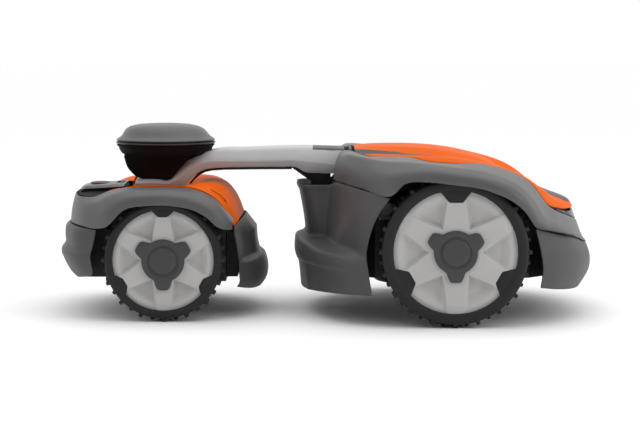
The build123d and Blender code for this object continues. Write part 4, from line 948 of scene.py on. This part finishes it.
def cap_mesh():
    n = 360
    th = np.linspace(0, 2 * math.pi, n, endpoint=False)
    R = np.full(n, 36.0)
    for a in (30, 150, 270):
        d = (th - math.radians(a) + math.pi) % (2 * math.pi) - math.pi
        R = np.maximum(R, 36.6 + 13.7 * smoothstep((math.radians(27.5) - np.abs(d)) / math.radians(20)))
    R = R - 0.3
    rows = [(0, -7.0, 0), (10, -7.0, 0), (18, -6.98, 0), (20.4, -6.9, 0), (21.6, -6.5, 0), (22.6, -5.6, 0), (23.0, -4.4, 0), (23.6, -3.4, 0), (25.2, -3.3, 0), (26.2, -3.9, 0), (27.4, -4.45, 0), (29, -4.5, 0), (33.4, -4.5, 0)]
    rim_rows = [(-2.2, -4.48), (-1.3, -4.3), (-0.6, -3.9), (-0.15, -3.3), (0, -2.6), (0, 0.6), (-0.6, 0.9)]
    G = np.zeros((n, len(rows) + len(rim_rows) + 1, 3))
    for j, (r, y, _) in enumerate(rows):
        G[:, j] = np.stack([r * np.cos(th), np.full(n, y), r * np.sin(th)], 1)
    for j, (dr, y) in enumerate(rim_rows):
        q = R + dr
        G[:, len(rows) + j] = np.stack([q * np.cos(th), np.full(n, y), q * np.sin(th)], 1)
    G[:, -1] = np.stack([0 * th, np.full(n, 0.9), 0 * th], 1)
    ob = obj_from("cap_draft", grid_mesh("cap_draft", G, close_u=True), ["cap"])
    weld(ob)
    bake(ob, 32)
    return ob


def place_wheel(draft, name, x, y, z, left):
    me = draft.data.copy()
    me.name = name
    M = Matrix.Translation((x * 0.001, y * 0.001, z * 0.001)) @ Matrix.Rotation(math.pi if left else 0.0, 4, "Z")
    me.transform(M)
    ob = bpy.data.objects.new(name, me)
    bpy.context.scene.collection.objects.link(ob)
    return ob


cap_draft = cap_mesh()
for tag, x, r_out, r_tyre, w, yf, rimr, axle, tab, cleats in (
    ("front", 213, 126.4, 121.4, 56, 262, 102.6, 7.95, (50, 22.4, 20), 20),
    ("rear", -275, 104.4, 99.4, 50, 190, 85.3, 6.95, (34.6, 16.7, 11.4), 16),
):
    rim_draft = rim_mesh(w, rimr, axle, tab)
    tyre_draft = tyre_mesh(r_out, r_tyre, w, rimr, tab, 3, cleats)
    for hand, sgn in (("left", 1), ("right", -1)):
        body = f"{tag}_{hand}_wheel"
        give(place_wheel(tyre_draft, f"{tag}_{hand}_tread", x, sgn * yf, r_out, sgn > 0), body, "tyre_rubber", f"{tag}_{hand}_tyre")
        give(place_wheel(rim_draft, f"{tag}_{hand}_disc", x, sgn * yf, r_out, sgn > 0), body, "rim_silver", f"{tag}_{hand}_rim")
        give(place_wheel(cap_draft, f"{tag}_{hand}_cap", x, sgn * yf, r_out, sgn > 0), body, "grey_plastic", f"{tag}_{hand}_hub_cap")
    bpy.data.objects.remove(rim_draft)
    bpy.data.objects.remove(tyre_draft)
bpy.data.objects.remove(cap_draft)


# ------------------------------------------------------------------ floor, light and camera
def floor():
    me = bpy.data.meshes.new("floor")
    s = 14.0
    me.from_pydata([(-s, -6, 0), (s, -6, 0), (s, 26, 0), (-s, 26, 0)], [], [(0, 1, 2, 3)])
    ob = bpy.data.objects.new("floor", me)
    bpy.context.scene.collection.objects.link(ob)
    m = bpy.data.materials.new("studio_floor")
    m.use_nodes = True
    p = m.node_tree.nodes["Principled BSDF"]
    p.inputs["Base Color"].default_value = (0.965, 0.965, 0.965, 1)
    p.inputs["Roughness"].default_value = 0.7
    p.inputs["Specular IOR Level"].default_value = 0.2
    me.materials.append(m)


floor()
world = bpy.data.worlds.new("studio")
bpy.context.scene.world = world
world.use_nodes = True
bg = world.node_tree.nodes["Background"]
bg.inputs["Color"].default_value = (1, 1, 1, 1)
bg.inputs["Strength"].default_value = 1.03


def softbox(name, at, to, sx, sy, power):
    li = bpy.data.lights.new(name, "AREA")
    li.shape = "RECTANGLE"
    li.size, li.size_y = sx, sy
    li.energy = power
    ob = bpy.data.objects.new(name, li)
    ob.location = at
    ob.rotation_euler = (Vector(to) - Vector(at)).to_track_quat("-Z", "Y").to_euler()
    bpy.context.scene.collection.objects.link(ob)


softbox("top_box", (0.0, 0.1, 2.4), (0, 0, 0), 3.2, 1.6, 18)
softbox("right_box", (2.6, -1.3, 1.2), (0.1, 0, 0.15), 1.5, 1.3, 16)


def card(name, corners):
    me = bpy.data.meshes.new(name)
    me.from_pydata(corners, [], [(0, 1, 2, 3)])
    ob = bpy.data.objects.new(name, me)
    bpy.context.scene.collection.objects.link(ob)
    m = bpy.data.materials.new(name)
    m.use_nodes = True
    p = m.node_tree.nodes["Principled BSDF"]
    p.inputs["Base Color"].default_value = (0.045, 0.045, 0.045, 1)
    p.inputs["Roughness"].default_value = 0.9
    me.materials.append(m)


card("dark_card", [(-4.5, -4.6, 0.02), (4.5, -4.6, 0.02), (4.5, -4.6, 2.7), (-4.5, -4.6, 2.7)])

cam_data = bpy.data.cameras.new("camera")
cam_data.sensor_width = 36
cam_data.lens = 110.76
cam = bpy.data.objects.new("camera", cam_data)
cam.location = (-0.010694, -3.479797, 0.497873)
cam.rotation_euler = (math.radians(90 - 5.4415), 0, 0)
bpy.context.scene.collection.objects.link(cam)
bpy.context.scene.camera = cam
bpy.context.scene.view_settings.view_transform = "Standard"
